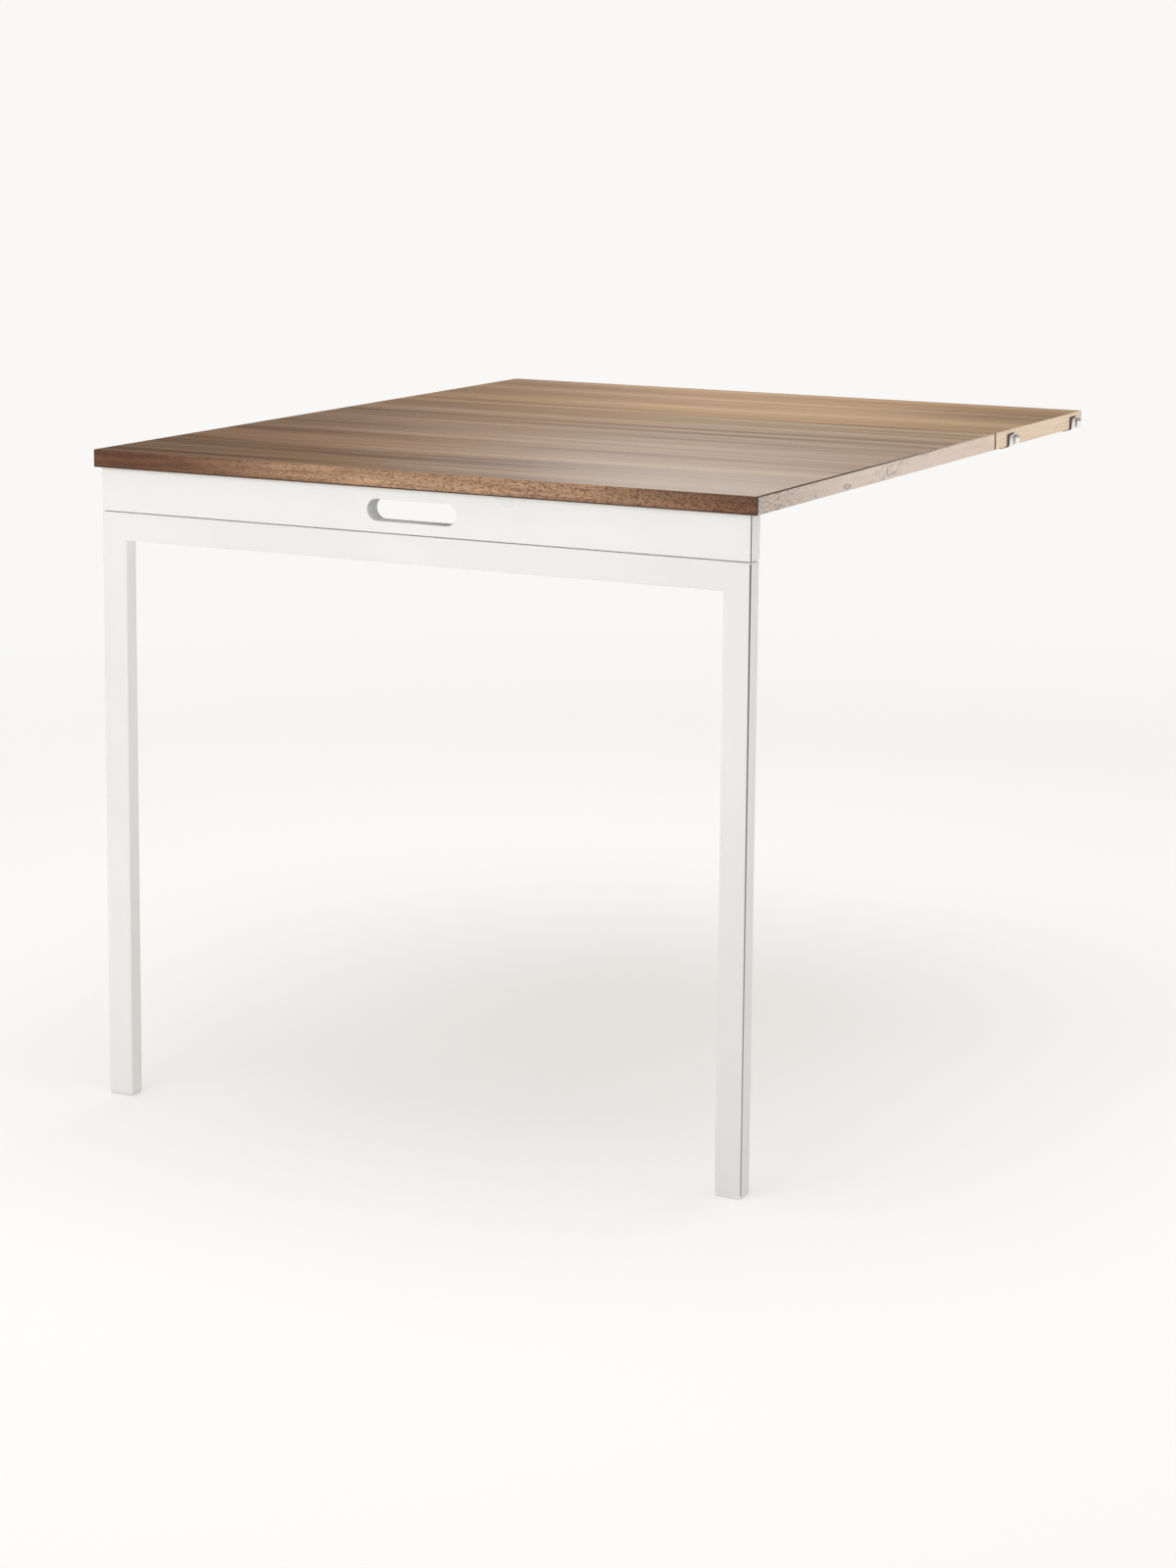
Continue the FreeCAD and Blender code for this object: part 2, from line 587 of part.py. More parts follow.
def tube(x_span, z_span, axis):
    """A rectangular tube between the frame's front and back faces, along X or Z."""
    y_span = (FRAME_FRONT, FRAME_BACK)
    outer = round_edges(box(x_span, y_span, z_span), TUBE_EDGE, axis)
    past = TUBE_WALL if axis == X_AXIS else -TUBE_WALL
    x_inner = (x_span[0] - past, x_span[1] + past)
    z_inner = (z_span[0] + past, z_span[1] - past)
    y_inner = (FRAME_FRONT + TUBE_WALL, FRAME_BACK - TUBE_WALL)
    inner = round_edges(box(x_inner, y_inner, z_inner), TUBE_EDGE - TUBE_WALL, axis)
    return outer.cut(inner)


def mitre(side, keep_bar):
    """What a mitred corner takes off the crossbar or off the leg."""
    outer_top = (side * FRAME_SIDE, BAR_TOP)
    inner_bottom = (side * (FRAME_SIDE - TUBE_WIDE), BAR_BOTTOM)
    if keep_bar:
        third = (side * FRAME_SIDE, BAR_BOTTOM)
    else:
        third = (side * (FRAME_SIDE - TUBE_WIDE), BAR_TOP)
    return prism([outer_top, inner_bottom, third], "XZ", (FRAME_FRONT - TUBE_WALL, FRAME_BACK + TUBE_WALL))


def ground_corner(side):
    """What is ground off the frame's outer corner."""
    middle = Vector(FRAME_SIDE - CORNER_EDGE, FRAME_FRONT - TUBE_WALL, BAR_TOP - CORNER_EDGE)
    y_span = (FRAME_FRONT - TUBE_WALL, FRAME_BACK + TUBE_WALL)
    block = box((middle.x, FRAME_SIDE + TUBE_WALL), y_span, (middle.z, BAR_TOP + TUBE_WALL))
    return on_side(block.cut(cylinder(2 * CORNER_EDGE, middle, Y_AXIS, y_span[1] - y_span[0])), side)


def weld(side):
    """The weld in the frame's inner corner, between the flat parts of both tubes."""
    inner = FRAME_SIDE - TUBE_WIDE
    y_span = (FRAME_FRONT + TUBE_EDGE, FRAME_BACK - TUBE_EDGE)
    block = box((inner - WELD, inner), y_span, (BAR_BOTTOM - WELD, BAR_BOTTOM))
    start = Vector(inner - WELD, y_span[0], BAR_BOTTOM - WELD)
    return on_side(block.cut(cylinder(2 * WELD, start, Y_AXIS, y_span[1] - y_span[0])), side)


def crossbar():
    bar = tube((-FRAME_SIDE, FRAME_SIDE), (BAR_BOTTOM, BAR_TOP), X_AXIS)
    tools = rivet_holes()
    for side in SIDES.values():
        tools += [mitre(side, True), ground_corner(side)]
    return cut_all(bar, tools)


def leg(side):
    x_span = sorted((side * FRAME_SIDE, side * (FRAME_SIDE - TUBE_WIDE)))
    upright = tube(x_span, (FLOOR + GLIDE_FLANGE, BAR_TOP), Z_AXIS)
    return cut_all(upright, [mitre(side, False), ground_corner(side)]).fuse(weld(side)).removeSplitter()


def glide_flange(x, y):
    """The cap under the tube, rounded in plan and up from the sole in both elevations."""
    spans = (about(x, TUBE_WIDE - 2 * GLIDE_INSET), about(y, TUBE_DEEP - 2 * GLIDE_INSET))
    plain = box(*spans, (FLOOR, FLOOR + GLIDE_FLANGE))
    plan = round_edges(plain, TUBE_EDGE - GLIDE_INSET, Z_AXIS)
    front = round_edges(plain, GLIDE_EDGE, Y_AXIS, lambda point: point.z < FLOOR + TOUCH)
    side = round_edges(plain, GLIDE_EDGE, X_AXIS, lambda point: point.z < FLOOR + TOUCH)
    return plan.common(front).common(side)


def glide(side):
    """A flanged plug in the foot of a leg, grooved so that it springs in."""
    x = side * LEG_MIDDLE_X
    y = (FRAME_FRONT + FRAME_BACK) / 2
    flange_top = FLOOR + GLIDE_FLANGE
    inside = 2 * (TUBE_WALL + GLIDE_CLEARANCE)
    z_span = (flange_top, flange_top + GLIDE_PLUG)
    plug = box(about(x, TUBE_WIDE - inside), about(y, TUBE_DEEP - inside), z_span)
    plug = round_edges(plug, TUBE_EDGE - TUBE_WALL, Z_AXIS)
    grooves = []
    for number in (1, 3):
        z_span = about(flange_top + number * GLIDE_PLUG / 4, GLIDE_GROOVE)
        ring = box(about(x, TUBE_WIDE), about(y, TUBE_DEEP), z_span)
        core_x = about(x, TUBE_WIDE - inside - 2 * GLIDE_GROOVE_DEPTH)
        core_y = about(y, TUBE_DEEP - inside - 2 * GLIDE_GROOVE_DEPTH)
        grooves.append(ring.cut(box(core_x, core_y, z_span)))
    return glide_flange(x, y).fuse(cut_all(plug, grooves)).removeSplitter()


# Pads


def bumper_pads():
    """Thin pads under the apron that the crossbar bears on."""
    height = FRAME_GAP - BUMPER_CLEARANCE
    y = (FRAME_FRONT + FRAME_BACK) / 2
    pads = [cylinder(BUMPER, Vector(x, y, APRON_BOTTOM), -Z_AXIS, height) for x in BUMPER_FROM_MIDDLE]
    return Part.makeCompound(pads)


def rest_place():
    """Where a folded leg meets its pad: how far along the leg, and how far past level it is turned."""
    along = min(PIVOT_Z - FLOOR - REST_PAD_FROM_FOOT, LEAF_BACK - REST_PAD - PIVOT_Y)
    behind = PIVOT_Y - FRAME_BACK
    rise = UNDERSIDE - REST_PAD_HEIGHT - REST_PAD_CLEARANCE - PIVOT_Z
    past_level = math.asin(rise / math.hypot(along, behind)) + math.atan(behind / along)
    return along, past_level


def rest_pad(side):
    """A pad under the leaf. The folded leg bears on the side of it that is towards the seam."""
    along, past_level = rest_place()
    contact_y = PIVOT_Y + along * math.cos(past_level) + (PIVOT_Y - FRAME_BACK) * math.sin(past_level)
    start = Vector(side * (LEG_MIDDLE_X - REST_PAD_INBOARD), contact_y - REST_PAD / 2, UNDERSIDE)
    pad = cylinder(REST_PAD, start, -Z_AXIS, REST_PAD_HEIGHT)
    rim = [edge for edge in pad.Edges if edge.CenterOfMass.z < UNDERSIDE - REST_PAD_HEIGHT + TOUCH]
    return pad.makeFillet(REST_PAD_DOME, rim)


# The whole table


def shelf_pieces():
    pieces = {"shelf_board": shelf_board()}
    hook_places = []
    for place, middle_y in hook_middles().items():
        for name, side in SIDES.items():
            pieces[f"hook_{place}_{name}"] = on_side(hook(middle_y), side)
            for start, direction in hook_screw_places(middle_y):
                hook_places.append((Vector(side * start.x, start.y, start.z), direction))
    pieces["hook_screws"] = screws(hook_places)
    for name, middle_x in hinge_middles().items():
        pieces[f"leaf_hinge_{name}_shelf_plate"] = hinge_plate(middle_x, 1)
        pieces[f"leaf_hinge_{name}_pin"] = hinge_pin(middle_x)
    pieces["shelf_plate_screws"] = screws(hinge_screw_places(1))
    return pieces


def leaf_pieces():
    pieces = {"leaf_board": leaf_board()}
    for name, middle_x in hinge_middles().items():
        pieces[f"leaf_hinge_{name}_leaf_plate"] = hinge_plate(middle_x, -1)
    pieces["leaf_plate_screws"] = screws(hinge_screw_places(-1))
    pieces["apron"] = apron()
    pieces["apron_dowels"] = Part.makeCompound([dowel(x) for x in dowel_places()])
    for number, x in enumerate(ANGLE_FROM_MIDDLE, 1):
        pieces[f"apron_angle_{number}"] = apron_angle(x)
    pieces["apron_angle_screws"] = screws(angle_screw_places())
    for name, side in SIDES.items():
        pieces[f"pivot_bracket_{name}"] = apron_bracket(side * PIVOT_X)
    pieces["pivot_bracket_screws"] = screws(bracket_screw_places())
    pieces["bumper_pads"] = bumper_pads()
    pieces["leg_rest_pads"] = Part.makeCompound([rest_pad(side) for side in SIDES.values()])
    return pieces


def frame_pieces():
    pieces = {"crossbar": crossbar()}
    for name, side in SIDES.items():
        pieces[f"leg_{name}"] = leg(side)
        pieces[f"glide_{name}"] = glide(side)
        pieces[f"frame_bracket_{name}"] = frame_bracket(side * PIVOT_X)
        pieces[f"pivot_pin_{name}"] = pivot_pin(side * PIVOT_X)
    pieces["frame_rivets"] = Part.makeCompound([rivet(place) for place in rivet_places()])
    return pieces


def main():
    os.makedirs("parts", exist_ok=True)
    for name, shape in {**shelf_pieces(), **leaf_pieces(), **frame_pieces()}.items():
        if not shape.isValid():
            raise ValueError(f"{name} is not a valid solid")
        shape.exportStep(f"parts/{name}.step")
    print(f"the leg frame folds through {90 + math.degrees(rest_place()[1]):.2f} degrees")


main()
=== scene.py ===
"""Looks for the wall-hung drop-leaf table: veneer, white finishes, fittings and a plain studio."""

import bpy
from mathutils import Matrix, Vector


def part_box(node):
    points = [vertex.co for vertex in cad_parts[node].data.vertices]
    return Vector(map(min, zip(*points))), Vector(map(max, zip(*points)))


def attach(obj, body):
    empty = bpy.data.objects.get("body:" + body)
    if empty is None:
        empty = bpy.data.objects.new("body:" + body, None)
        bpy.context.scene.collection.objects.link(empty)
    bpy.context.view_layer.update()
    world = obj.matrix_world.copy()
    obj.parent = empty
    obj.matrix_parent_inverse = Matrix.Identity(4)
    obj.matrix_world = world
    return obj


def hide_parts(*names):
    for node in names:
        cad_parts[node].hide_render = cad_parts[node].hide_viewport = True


bl_info = {
    "name": "Wall Drop-Leaf Table",
    "version": (1, 0, 0),
    "blender": (4, 5, 0),
    "location": "View3D > Sidebar > Table",
    "description": "Finishes for a wall-hung drop-leaf table on a folding leg frame",
    "category": "Object",
}

import math

import bmesh
import bpy
from bpy.props import FloatProperty, FloatVectorProperty, IntProperty, PointerProperty
from bpy.types import Operator, Panel, PropertyGroup
from mathutils import Matrix, Vector

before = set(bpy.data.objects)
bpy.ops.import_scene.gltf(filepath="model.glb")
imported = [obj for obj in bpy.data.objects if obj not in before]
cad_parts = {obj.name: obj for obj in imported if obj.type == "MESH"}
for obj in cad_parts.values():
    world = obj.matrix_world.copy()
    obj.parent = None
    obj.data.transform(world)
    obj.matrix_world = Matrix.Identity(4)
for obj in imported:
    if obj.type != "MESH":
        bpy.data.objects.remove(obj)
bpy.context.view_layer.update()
MM = 0.001

SHELF = "shelf"
LEAF = "leaf"
LEG_FRAME = "leg_frame"


# Settings that a user would change


def colour(name, default, description):
    return FloatVectorProperty(
        name=name, description=description, default=default, size=3, min=0, max=1, subtype="COLOR"
    )


def length(name, default_mm, description):
    return FloatProperty(
        name=name, description=description, default=default_mm * MM, min=0, unit="LENGTH", precision=5
    )


def share(name, default, description, top=1.0):
    return FloatProperty(name=name, description=description, default=default, min=0, max=top)


class WalnutSettings(PropertyGroup):
    """The veneer of both boards."""

    leaf_dark: colour("Leaf, Dark Streaks", (0.170, 0.091, 0.050), "Darkest streaks of the drop leaf")
    leaf_brown: colour("Leaf, Body", (0.330, 0.203, 0.117), "Main tone of the drop leaf")
    leaf_pale: colour("Leaf, Pale Streaks", (0.490, 0.330, 0.212), "Palest streaks of the drop leaf")
    shelf_dark: colour("Shelf, Dark Streaks", (0.300, 0.165, 0.070), "Darkest streaks of the shelf")
    shelf_brown: colour("Shelf, Body", (0.470, 0.285, 0.135), "Main tone of the shelf")
    shelf_pale: colour("Shelf, Pale Streaks", (0.600, 0.400, 0.215), "Palest streaks of the shelf")
    # The front band's middle and end tones are partly the wood and partly painted light: highlight at the
    # middle, shade at the ends.
    lipping_middle: colour("Front Edge, Middle", (0.500, 0.300, 0.175), "Band along the front, at its middle")
    lipping_ends: colour("Front Edge, Ends", (0.150, 0.054, 0.018), "Band along the front, at its ends")
    # Painted sheen: the side bands are the walnut painted pale, as if lit from the right.
    leaf_side_sheen: colour("Leaf, Side Edges", (0.860, 0.720, 0.635), "Main tone of the drop leaf's side bands")
    shelf_side_sheen: colour("Shelf, Side Edges", (0.935, 0.765, 0.622), "Main tone of the shelf's side bands")
    # The veneer edge tone also serves the painted shade in the seam and the notches.
    veneer_edge_and_shade: colour("Veneer Edge", (0.050, 0.016, 0.006), "Cut edge of veneer and front band")
    veneer_thickness: length("Veneer Thickness", 1.5, "Width of the veneer's cut edge at the sides")
    band_thickness: length("Front Band Thickness", 3.6, "Width of the front band's end at the sides")
    passing: length("Change of Tone", 290.0, "How far the leaf's tones take to pass into the shelf's")
    # The left end's darkening is painted shade.
    left_shade: share("Left End", 0.70, "How dark the veneer is at its left end, against the rest")
    streak_width: length("Streak Width", 24.0, "Width of a broad streak, across the grain")
    streak_length: length("Streak Length", 900.0, "Length of a broad streak, along the grain")
    line_width: length("Growth Line Width", 4.5, "Width of a growth line")
    pore_length: length("Pore Length", 7.0, "Length of an open pore")
    pore_depth: length("Pore Depth", 0.05, "How deep the pores and lines are felt")
    gloss: share("Front Roughness", 0.33, "Roughness of the satin lacquer at the front")
    shelf_gloss: share("Shelf Roughness", 0.66, "Roughness of the satin lacquer on the shelf")


class PaintSettings(PropertyGroup):
    """The white finishes."""

    lacquer: colour("Apron Lacquer", (0.872, 0.871, 0.866), "Lacquer of the apron")
    powder: colour("Powder Coat", (0.853, 0.851, 0.845), "Powder coat of the leg frame")
    peel_size: length("Orange Peel Size", 1.6, "Size of the lacquer's faint orange peel")
    grain_size: length("Powder Grain Size", 0.7, "Size of the powder coat's grain")
    lacquer_roughness: share("Lacquer Roughness", 0.30, "Roughness of the apron")
    powder_roughness: share("Powder Roughness", 0.42, "Roughness of the leg frame")


class FittingSettings(PropertyGroup):
    """Metal, plastic, rubber and the fasteners."""

    hook: colour("Hook Plating", (1.0, 1.0, 0.995), "Bright plating of the hooks")
    zinc: colour("Zinc Plating", (0.60, 0.60, 0.58), "Plates, angles and brackets")
    steel: colour("Screw Steel", (0.52, 0.51, 0.49), "Screws and rivets")
    pin: colour("Pin Steel", (0.66, 0.66, 0.65), "Hinge and pivot pins")
    glide: colour("Glide Plastic", (0.86, 0.86, 0.85), "Plugs in the feet")
    rubber: colour("Rubber", (0.42, 0.42, 0.41), "Pads that the frame rests on")
    beech: colour("Beech", (0.56, 0.38, 0.23), "Dowels")
    head_diameter: length("Screw Head", 7.6, "Diameter of a screw's head")
    shank_diameter: length("Screw Shank", 3.5, "Diameter of a screw's shank")
    recess_width: length("Recess Width", 4.2, "Across the arms of a screw's cross recess")
    recess_slot: length("Recess Slot", 0.95, "Width of one arm of the recess")
    recess_depth: length("Recess Depth", 1.6, "Depth of the recess")
    rivet_head: length("Rivet Head", 7.0, "Diameter of a rivet's head")
    rivet_height: length("Rivet Height", 1.2, "Height of a rivet's head")
    rivet_shank: length("Rivet Shank", 4.0, "Diameter of a rivet's shank")
    rivet_tail: length("Rivet Tail", 5.6, "Diameter of a rivet's blind end")
    rivet_tail_length: length("Rivet Tail Length", 4.0, "Length of a rivet's blind end")
    mandrel: length("Mandrel Hole", 1.9, "Diameter of the hole in a rivet's head")
    twist_seed: IntProperty(
        name="Twist Seed", description="How the screws' recesses are turned", default=7, min=0
    )


class StageSettings(PropertyGroup):
    """Floor, light and camera."""

    backdrop: colour("Backdrop", (0.947, 0.939, 0.922), "Floor and background, as the camera sees them")
    fill: share("Fill Light", 0.66, "Brightness of the even light from all round", 5.0)
    ceiling: share("Ceiling", 0.04, "Brightness of what gloss shows above the background", 5.0)
    lamp_level: share("Lamp Level", 1.0, "Multiplies every lamp", 10.0)
    lens: FloatProperty(
        name="Lens", description="Focal length", default=79.876, min=1, subtype="DISTANCE_CAMERA"
    )
    camera_height: length("Camera Height", 437.8, "Height of the camera above the hooks")


# Small helpers for node trees


def add(tree, kind, inputs=None, **settings):
    """Adds a node. An input is given by name or number, as a value or as the socket to link from."""
    made = tree.nodes.new(kind)
    for key, value in settings.items():
        setattr(made, key, value)
    for key, value in (inputs or {}).items():
        if isinstance(value, bpy.types.NodeSocket):
            tree.links.new(value, made.inputs[key])
        else:
            made.inputs[key].default_value = value
    return made


def tree_of(*values):
    """The node tree that the first socket among some values belongs to."""
    return next(value.id_data for value in values if isinstance(value, bpy.types.NodeSocket))


def maths(operation, *values):
    """One step of arithmetic, on sockets or plain values."""
    return add(tree_of(*values), "ShaderNodeMath", dict(enumerate(values)), operation=operation).outputs[0]


def product(first, *others):
    for other in others:
        first = maths("MULTIPLY", first, other)
    return first


def greatest(first, *others):
    for other in others:
        first = maths("MAXIMUM", first, other)
    return first


def away_from(value, *places):
    """How far a value is from the nearest of some places."""
    nearest, *others = [maths("ABSOLUTE", maths("SUBTRACT", value, place)) for place in places]
    for gap in others:
        nearest = maths("MINIMUM", nearest, gap)
    return nearest


def parted(vector):
    """The X, Y and Z of a vector."""
    return add(vector.id_data, "ShaderNodeSeparateXYZ", {0: vector}).outputs


def colour_of(red, green, blue):
    return add(red.id_data, "ShaderNodeCombineColor", {0: red, 1: green, 2: blue}).outputs[0]


def blended(factor, first, second, how="MIX"):
    """Two colours blended, each a socket or a plain tone."""
    inputs = {0: factor}
    for number, tone in ((6, first), (7, second)):
        inputs[number] = tone if isinstance(tone, bpy.types.NodeSocket) else (*tone, 1)
    return add(tree_of(factor, first), "ShaderNodeMix", inputs, data_type="RGBA", blend_type=how).outputs[2]


def band(value, low, high, to_low=0.0, to_high=1.0):
    """A value taken smoothly from one range to another."""
    inputs = {0: value, 1: low, 2: high, 3: to_low, 4: to_high}
    return add(value.id_data, "ShaderNodeMapRange", inputs, interpolation_type="SMOOTHSTEP").outputs[0]


def falling(value, low, high):
    """1 below a range, and 0 above it."""
    return band(value, low, high, 1.0, 0.0)


def stretched(vector, cell):
    """Coordinates in which one unit is the given length, along each axis or along all of them."""
    lengths = cell if isinstance(cell, tuple) else (cell, cell, cell)
    inputs = {"Vector": vector, "Scale": [1 / size for size in lengths]}
    return add(vector.id_data, "ShaderNodeMapping", inputs).outputs[0]


def noise(place, cell, detail=2.0, roughness=0.5, distortion=0.0):
    """A noise whose cells have the given length, along each axis or along all of them."""
    inputs = {"Vector": stretched(place, cell), "Scale": 1.0}
    inputs |= {"Detail": detail, "Roughness": roughness, "Distortion": distortion}
    return add(place.id_data, "ShaderNodeTexNoise", inputs).outputs["Fac"]


def stepped(factor, stops):
    """A colour ramp through the stops, each a place and a colour."""
    node = add(factor.id_data, "ShaderNodeValToRGB", {0: factor})
    elements = node.color_ramp.elements
    while len(elements) < len(stops):
        elements.new(1.0)
    for element, (place, tone) in zip(elements, stops):
        element.position = place
        element.color = (*tone, 1.0)
    return node.outputs[0]


def bumped(height, depth):
    """A bump whose height, from 0 to 1, stands for the given depth in metres."""
    inputs = {"Strength": 1.0, "Distance": depth, "Height": height}
    return add(height.id_data, "ShaderNodeBump", inputs).outputs[0]


def facing(way):
    """How far a face points along X, Y and Z, each from 0 to 1, in the piece's own directions."""
    return [maths("ABSOLUTE", part) for part in parted(way)]


def new_material(name):
    """An empty node material, with a point's place and the way its face points, both on the object."""
    material = bpy.data.materials.new(name)
    material.use_nodes = True
    material.node_tree.nodes.clear()
    given = add(material.node_tree, "ShaderNodeTexCoord").outputs
    return material, given["Object"], given["Normal"]


def finished(material, tint, rough, height, depth, **constants):
    """Gives a material its shader and its bump. Constants are set on the shader's own sockets."""
    inputs = {**constants, "Base Color": tint, "Roughness": rough, "Normal": bumped(height, depth)}
    shader = add(material.node_tree, "ShaderNodeBsdfPrincipled", inputs)
    add(material.node_tree, "ShaderNodeOutputMaterial", {"Surface": shader.outputs[0]})
    return material


def paint(material, *names):
    """Gives nodes of the frame their material."""
    for name in names:
        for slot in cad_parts[name].material_slots:
            slot.material = material


def scaled(tone, factor):
    return tuple(min(1.0, part * factor) for part in tone)


# Veneer. A cell is the length of a pattern's cells along X, Y and Z, and a reach runs along a board.

WANDER = 12 * MM
WANDER_CELL = (550 * MM, 200 * MM, 200 * MM)
LINE_RATIO = 90
HAIR_CELL = (100 * MM, 1.1 * MM, 1.1 * MM)
PORE_WIDTH = 0.6 * MM
VENEER_STOPS = (0.39, 0.50, 0.63)
CALM_LEVEL = 0.525
CALM_REACH = (180 * MM, 280 * MM)
# Painted shade: a darker streak towards the shelf's right end.
RIGHT_STREAK_SHADE_LINE = 12 * MM
RIGHT_STREAK_SHADE_REACH = (30 * MM, 85 * MM)
# Painted sheen: a paler stretch across the leaf.
PALE_SHEEN_REACH = (50 * MM, 100 * MM)

LIPPING_MIDDLE = 40 * MM
WAVE_CELL = (110 * MM, 100 * MM, 4 * MM)
FLECK_CELL = (4.4 * MM, 10 * MM, 1.6 * MM)

FLAME_CELL = (1.0, 120 * MM, 40 * MM)
DASH_CELL = (1.0, 8 * MM, 1.7 * MM)
MOTTLE_CELL = (1.0, 45 * MM, 6 * MM)
SIDE_STREAK_CELL = (1.0, 80 * MM, 1.3 * MM)
SIDE_PAINTED_SHADE_REACH = 350 * MM
SIDE_WARM_REACH = 250 * MM

SOFT = 0.1 * MM
SEAM_REACH = 3 * MM
LINE_STRENGTH = 0.96
STRIP_WIDTH = 13 * MM
NOTCH_GAP = 5 * MM
RIGHT_HOOKS = ("hook_front_right", "hook_rear_right")
# Tone of the painted shadow in front of the hooks' notches.
NOTCH_SHADOW_TONE = (0.25, 0.10, 0.042)


class Board:
    """A board as its material sees it: a point's place, the way its face points and the board's extents."""

    def __init__(self, node):
        self.material, self.place, way = new_material(f"walnut_{node}")
        self.x, self.y, self.z = parted(self.place)
        self.x_way, self.y_way, self.z_way = facing(way)
        self.on_side = band(self.x_way, 0.55, 0.60)
        self.on_front = band(self.y_way, 0.70, 0.74)
        self.low, self.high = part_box(node)
        leaf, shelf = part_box("leaf_board"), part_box("shelf_board")
        self.front = leaf[0].y
        self.seam = (leaf[1].y + shelf[0].y) / 2
        self.from_seam = away_from(self.y, self.seam)


def grain_heights(place, settings):
    """Streaks, growth lines, hairs and pores that run along X, each from 0 to 1."""
    tree = place.id_data
    wander = maths("MULTIPLY_ADD", noise(place, WANDER_CELL, 1.0), WANDER, -WANDER / 2)
    lift = add(tree, "ShaderNodeCombineXYZ", {1: wander, 2: wander}).outputs[0]
    bent = add(tree, "ShaderNodeVectorMath", {0: place, 1: lift}, operation="ADD").outputs[0]
    width, line = settings.streak_width, settings.line_width
    streaks = noise(bent, (settings.streak_length, width, width), 4.0, 0.60)
    lines = noise(bent, (LINE_RATIO * line, line, line), 3.0, 0.65)
    hairs = noise(bent, HAIR_CELL, 1.0)
    pores = band(noise(bent, (settings.pore_length, PORE_WIDTH, PORE_WIDTH), 1.0), 0.60, 0.74)
    return streaks, lines, hairs, pores


def veneer_shades(board, right_shade, left_shade):
    """How much of red, green and blue the veneer keeps.

    Painted shade darkens it towards both ends, most along a streak at the shelf's right end.
    A painted sheen makes the leaf greyer to the right, with a paler stretch across it.
    """
    seam = board.seam
    # Painted shade towards the ends, most along a streak at the shelf's right end.
    right_streak_shade = band(away_from(board.y, RIGHT_STREAK_SHADE_LINE), *RIGHT_STREAK_SHADE_REACH, 0.26, 0.0)
    right_end_streak_shade = product(right_streak_shade, band(board.x, 50 * MM, 370 * MM))
    right = maths("SUBTRACT", band(board.x, 120 * MM, board.high.x, 1.0, right_shade), right_end_streak_shade)
    left = board.low.x
    red, green = (product(right, band(board.x, left, 0.0, left_shade * part, 1.0)) for part in (1.0, 0.95))
    on_leaf = falling(board.y, seam - 20 * MM, seam)
    behind_front = band(board.y, seam - 560 * MM, seam - 460 * MM, 0.45, 1.0)
    # Painted sheen: the leaf greyer and paler where the glare would fall.
    sheen_greyed = product(behind_front, on_leaf, band(board.x, -150 * MM, 150 * MM))
    pale = band(away_from(board.y, seam - 430 * MM), *PALE_SHEEN_REACH, 1.16, 1.0)
    return [
        product(end, pale, band(sheen_greyed, 0.0, 1.0, 1.0, rise))
        for end, rise in ((red, 1.01), (green, 1.12), (green, 1.23))
    ]


def veneer_colour(board, grain, back_share, right_shade, settings):
    """The face veneer. Its tones pass from the leaf's to the shelf's by the shares at its front and back."""
    front = board.front
    streaks, lines, hairs, pores = grain
    mixed = maths("MULTIPLY_ADD", lines, 0.46, product(streaks, 0.54))
    near, far = (front + reach for reach in CALM_REACH)
    calm = product(band(board.y, near, far, 0.62, 0.0), band(board.x, -20 * MM, 260 * MM))
    calmed = maths("MULTIPLY_ADD", maths("SUBTRACT", CALM_LEVEL, mixed), calm, mixed)
    leaf_tones = (settings.leaf_dark, settings.leaf_brown, settings.leaf_pale)
    shelf_tones = (settings.shelf_dark, settings.shelf_brown, settings.shelf_pale)
    leaf, shelf = (stepped(calmed, list(zip(VENEER_STOPS, tones))) for tones in (leaf_tones, shelf_tones))
    passed = band(board.y, board.high.y - settings.passing, board.high.y, *back_share)
    shades = colour_of(*veneer_shades(board, right_shade, settings.left_shade))
    shaded = blended(1.0, blended(passed, leaf, shelf), shades, "MULTIPLY")
    haired = blended(product(hairs, 0.30), shaded, settings.leaf_dark)
    return blended(product(pores, 0.45), haired, scaled(settings.leaf_dark, 0.55))


def lipping_colour(board, hairs, settings):
    """The front band: wavy lines and dark flecks; paler to the middle by its tone and a painted highlight."""
    wave = noise(board.place, WAVE_CELL, 2.0, 0.5, 0.6)
    fleck = band(noise(board.place, FLECK_CELL, 3.0, 0.7), 0.49, 0.60)
    # Partly painted light: brighter at the middle, shaded towards the ends.
    inward = falling(away_from(board.x, LIPPING_MIDDLE), 30 * MM, 400 * MM)
    tone = blended(inward, settings.lipping_ends, settings.lipping_middle)
    shade = stepped(wave, [(0.30, (0.70, 0.66, 0.62)), (0.50, (1, 1, 1)), (0.72, (1.3, 1.3, 1.3))])
    flecks = product(fleck, band(board.x, -200 * MM, 150 * MM, 0.62, 0.95))
    flecked = blended(flecks, shade, (0.38, 0.33, 0.30))
    haired = blended(product(hairs, 0.22), flecked, (0.60, 0.56, 0.52))
    return blended(1.0, tone, haired, "MULTIPLY")


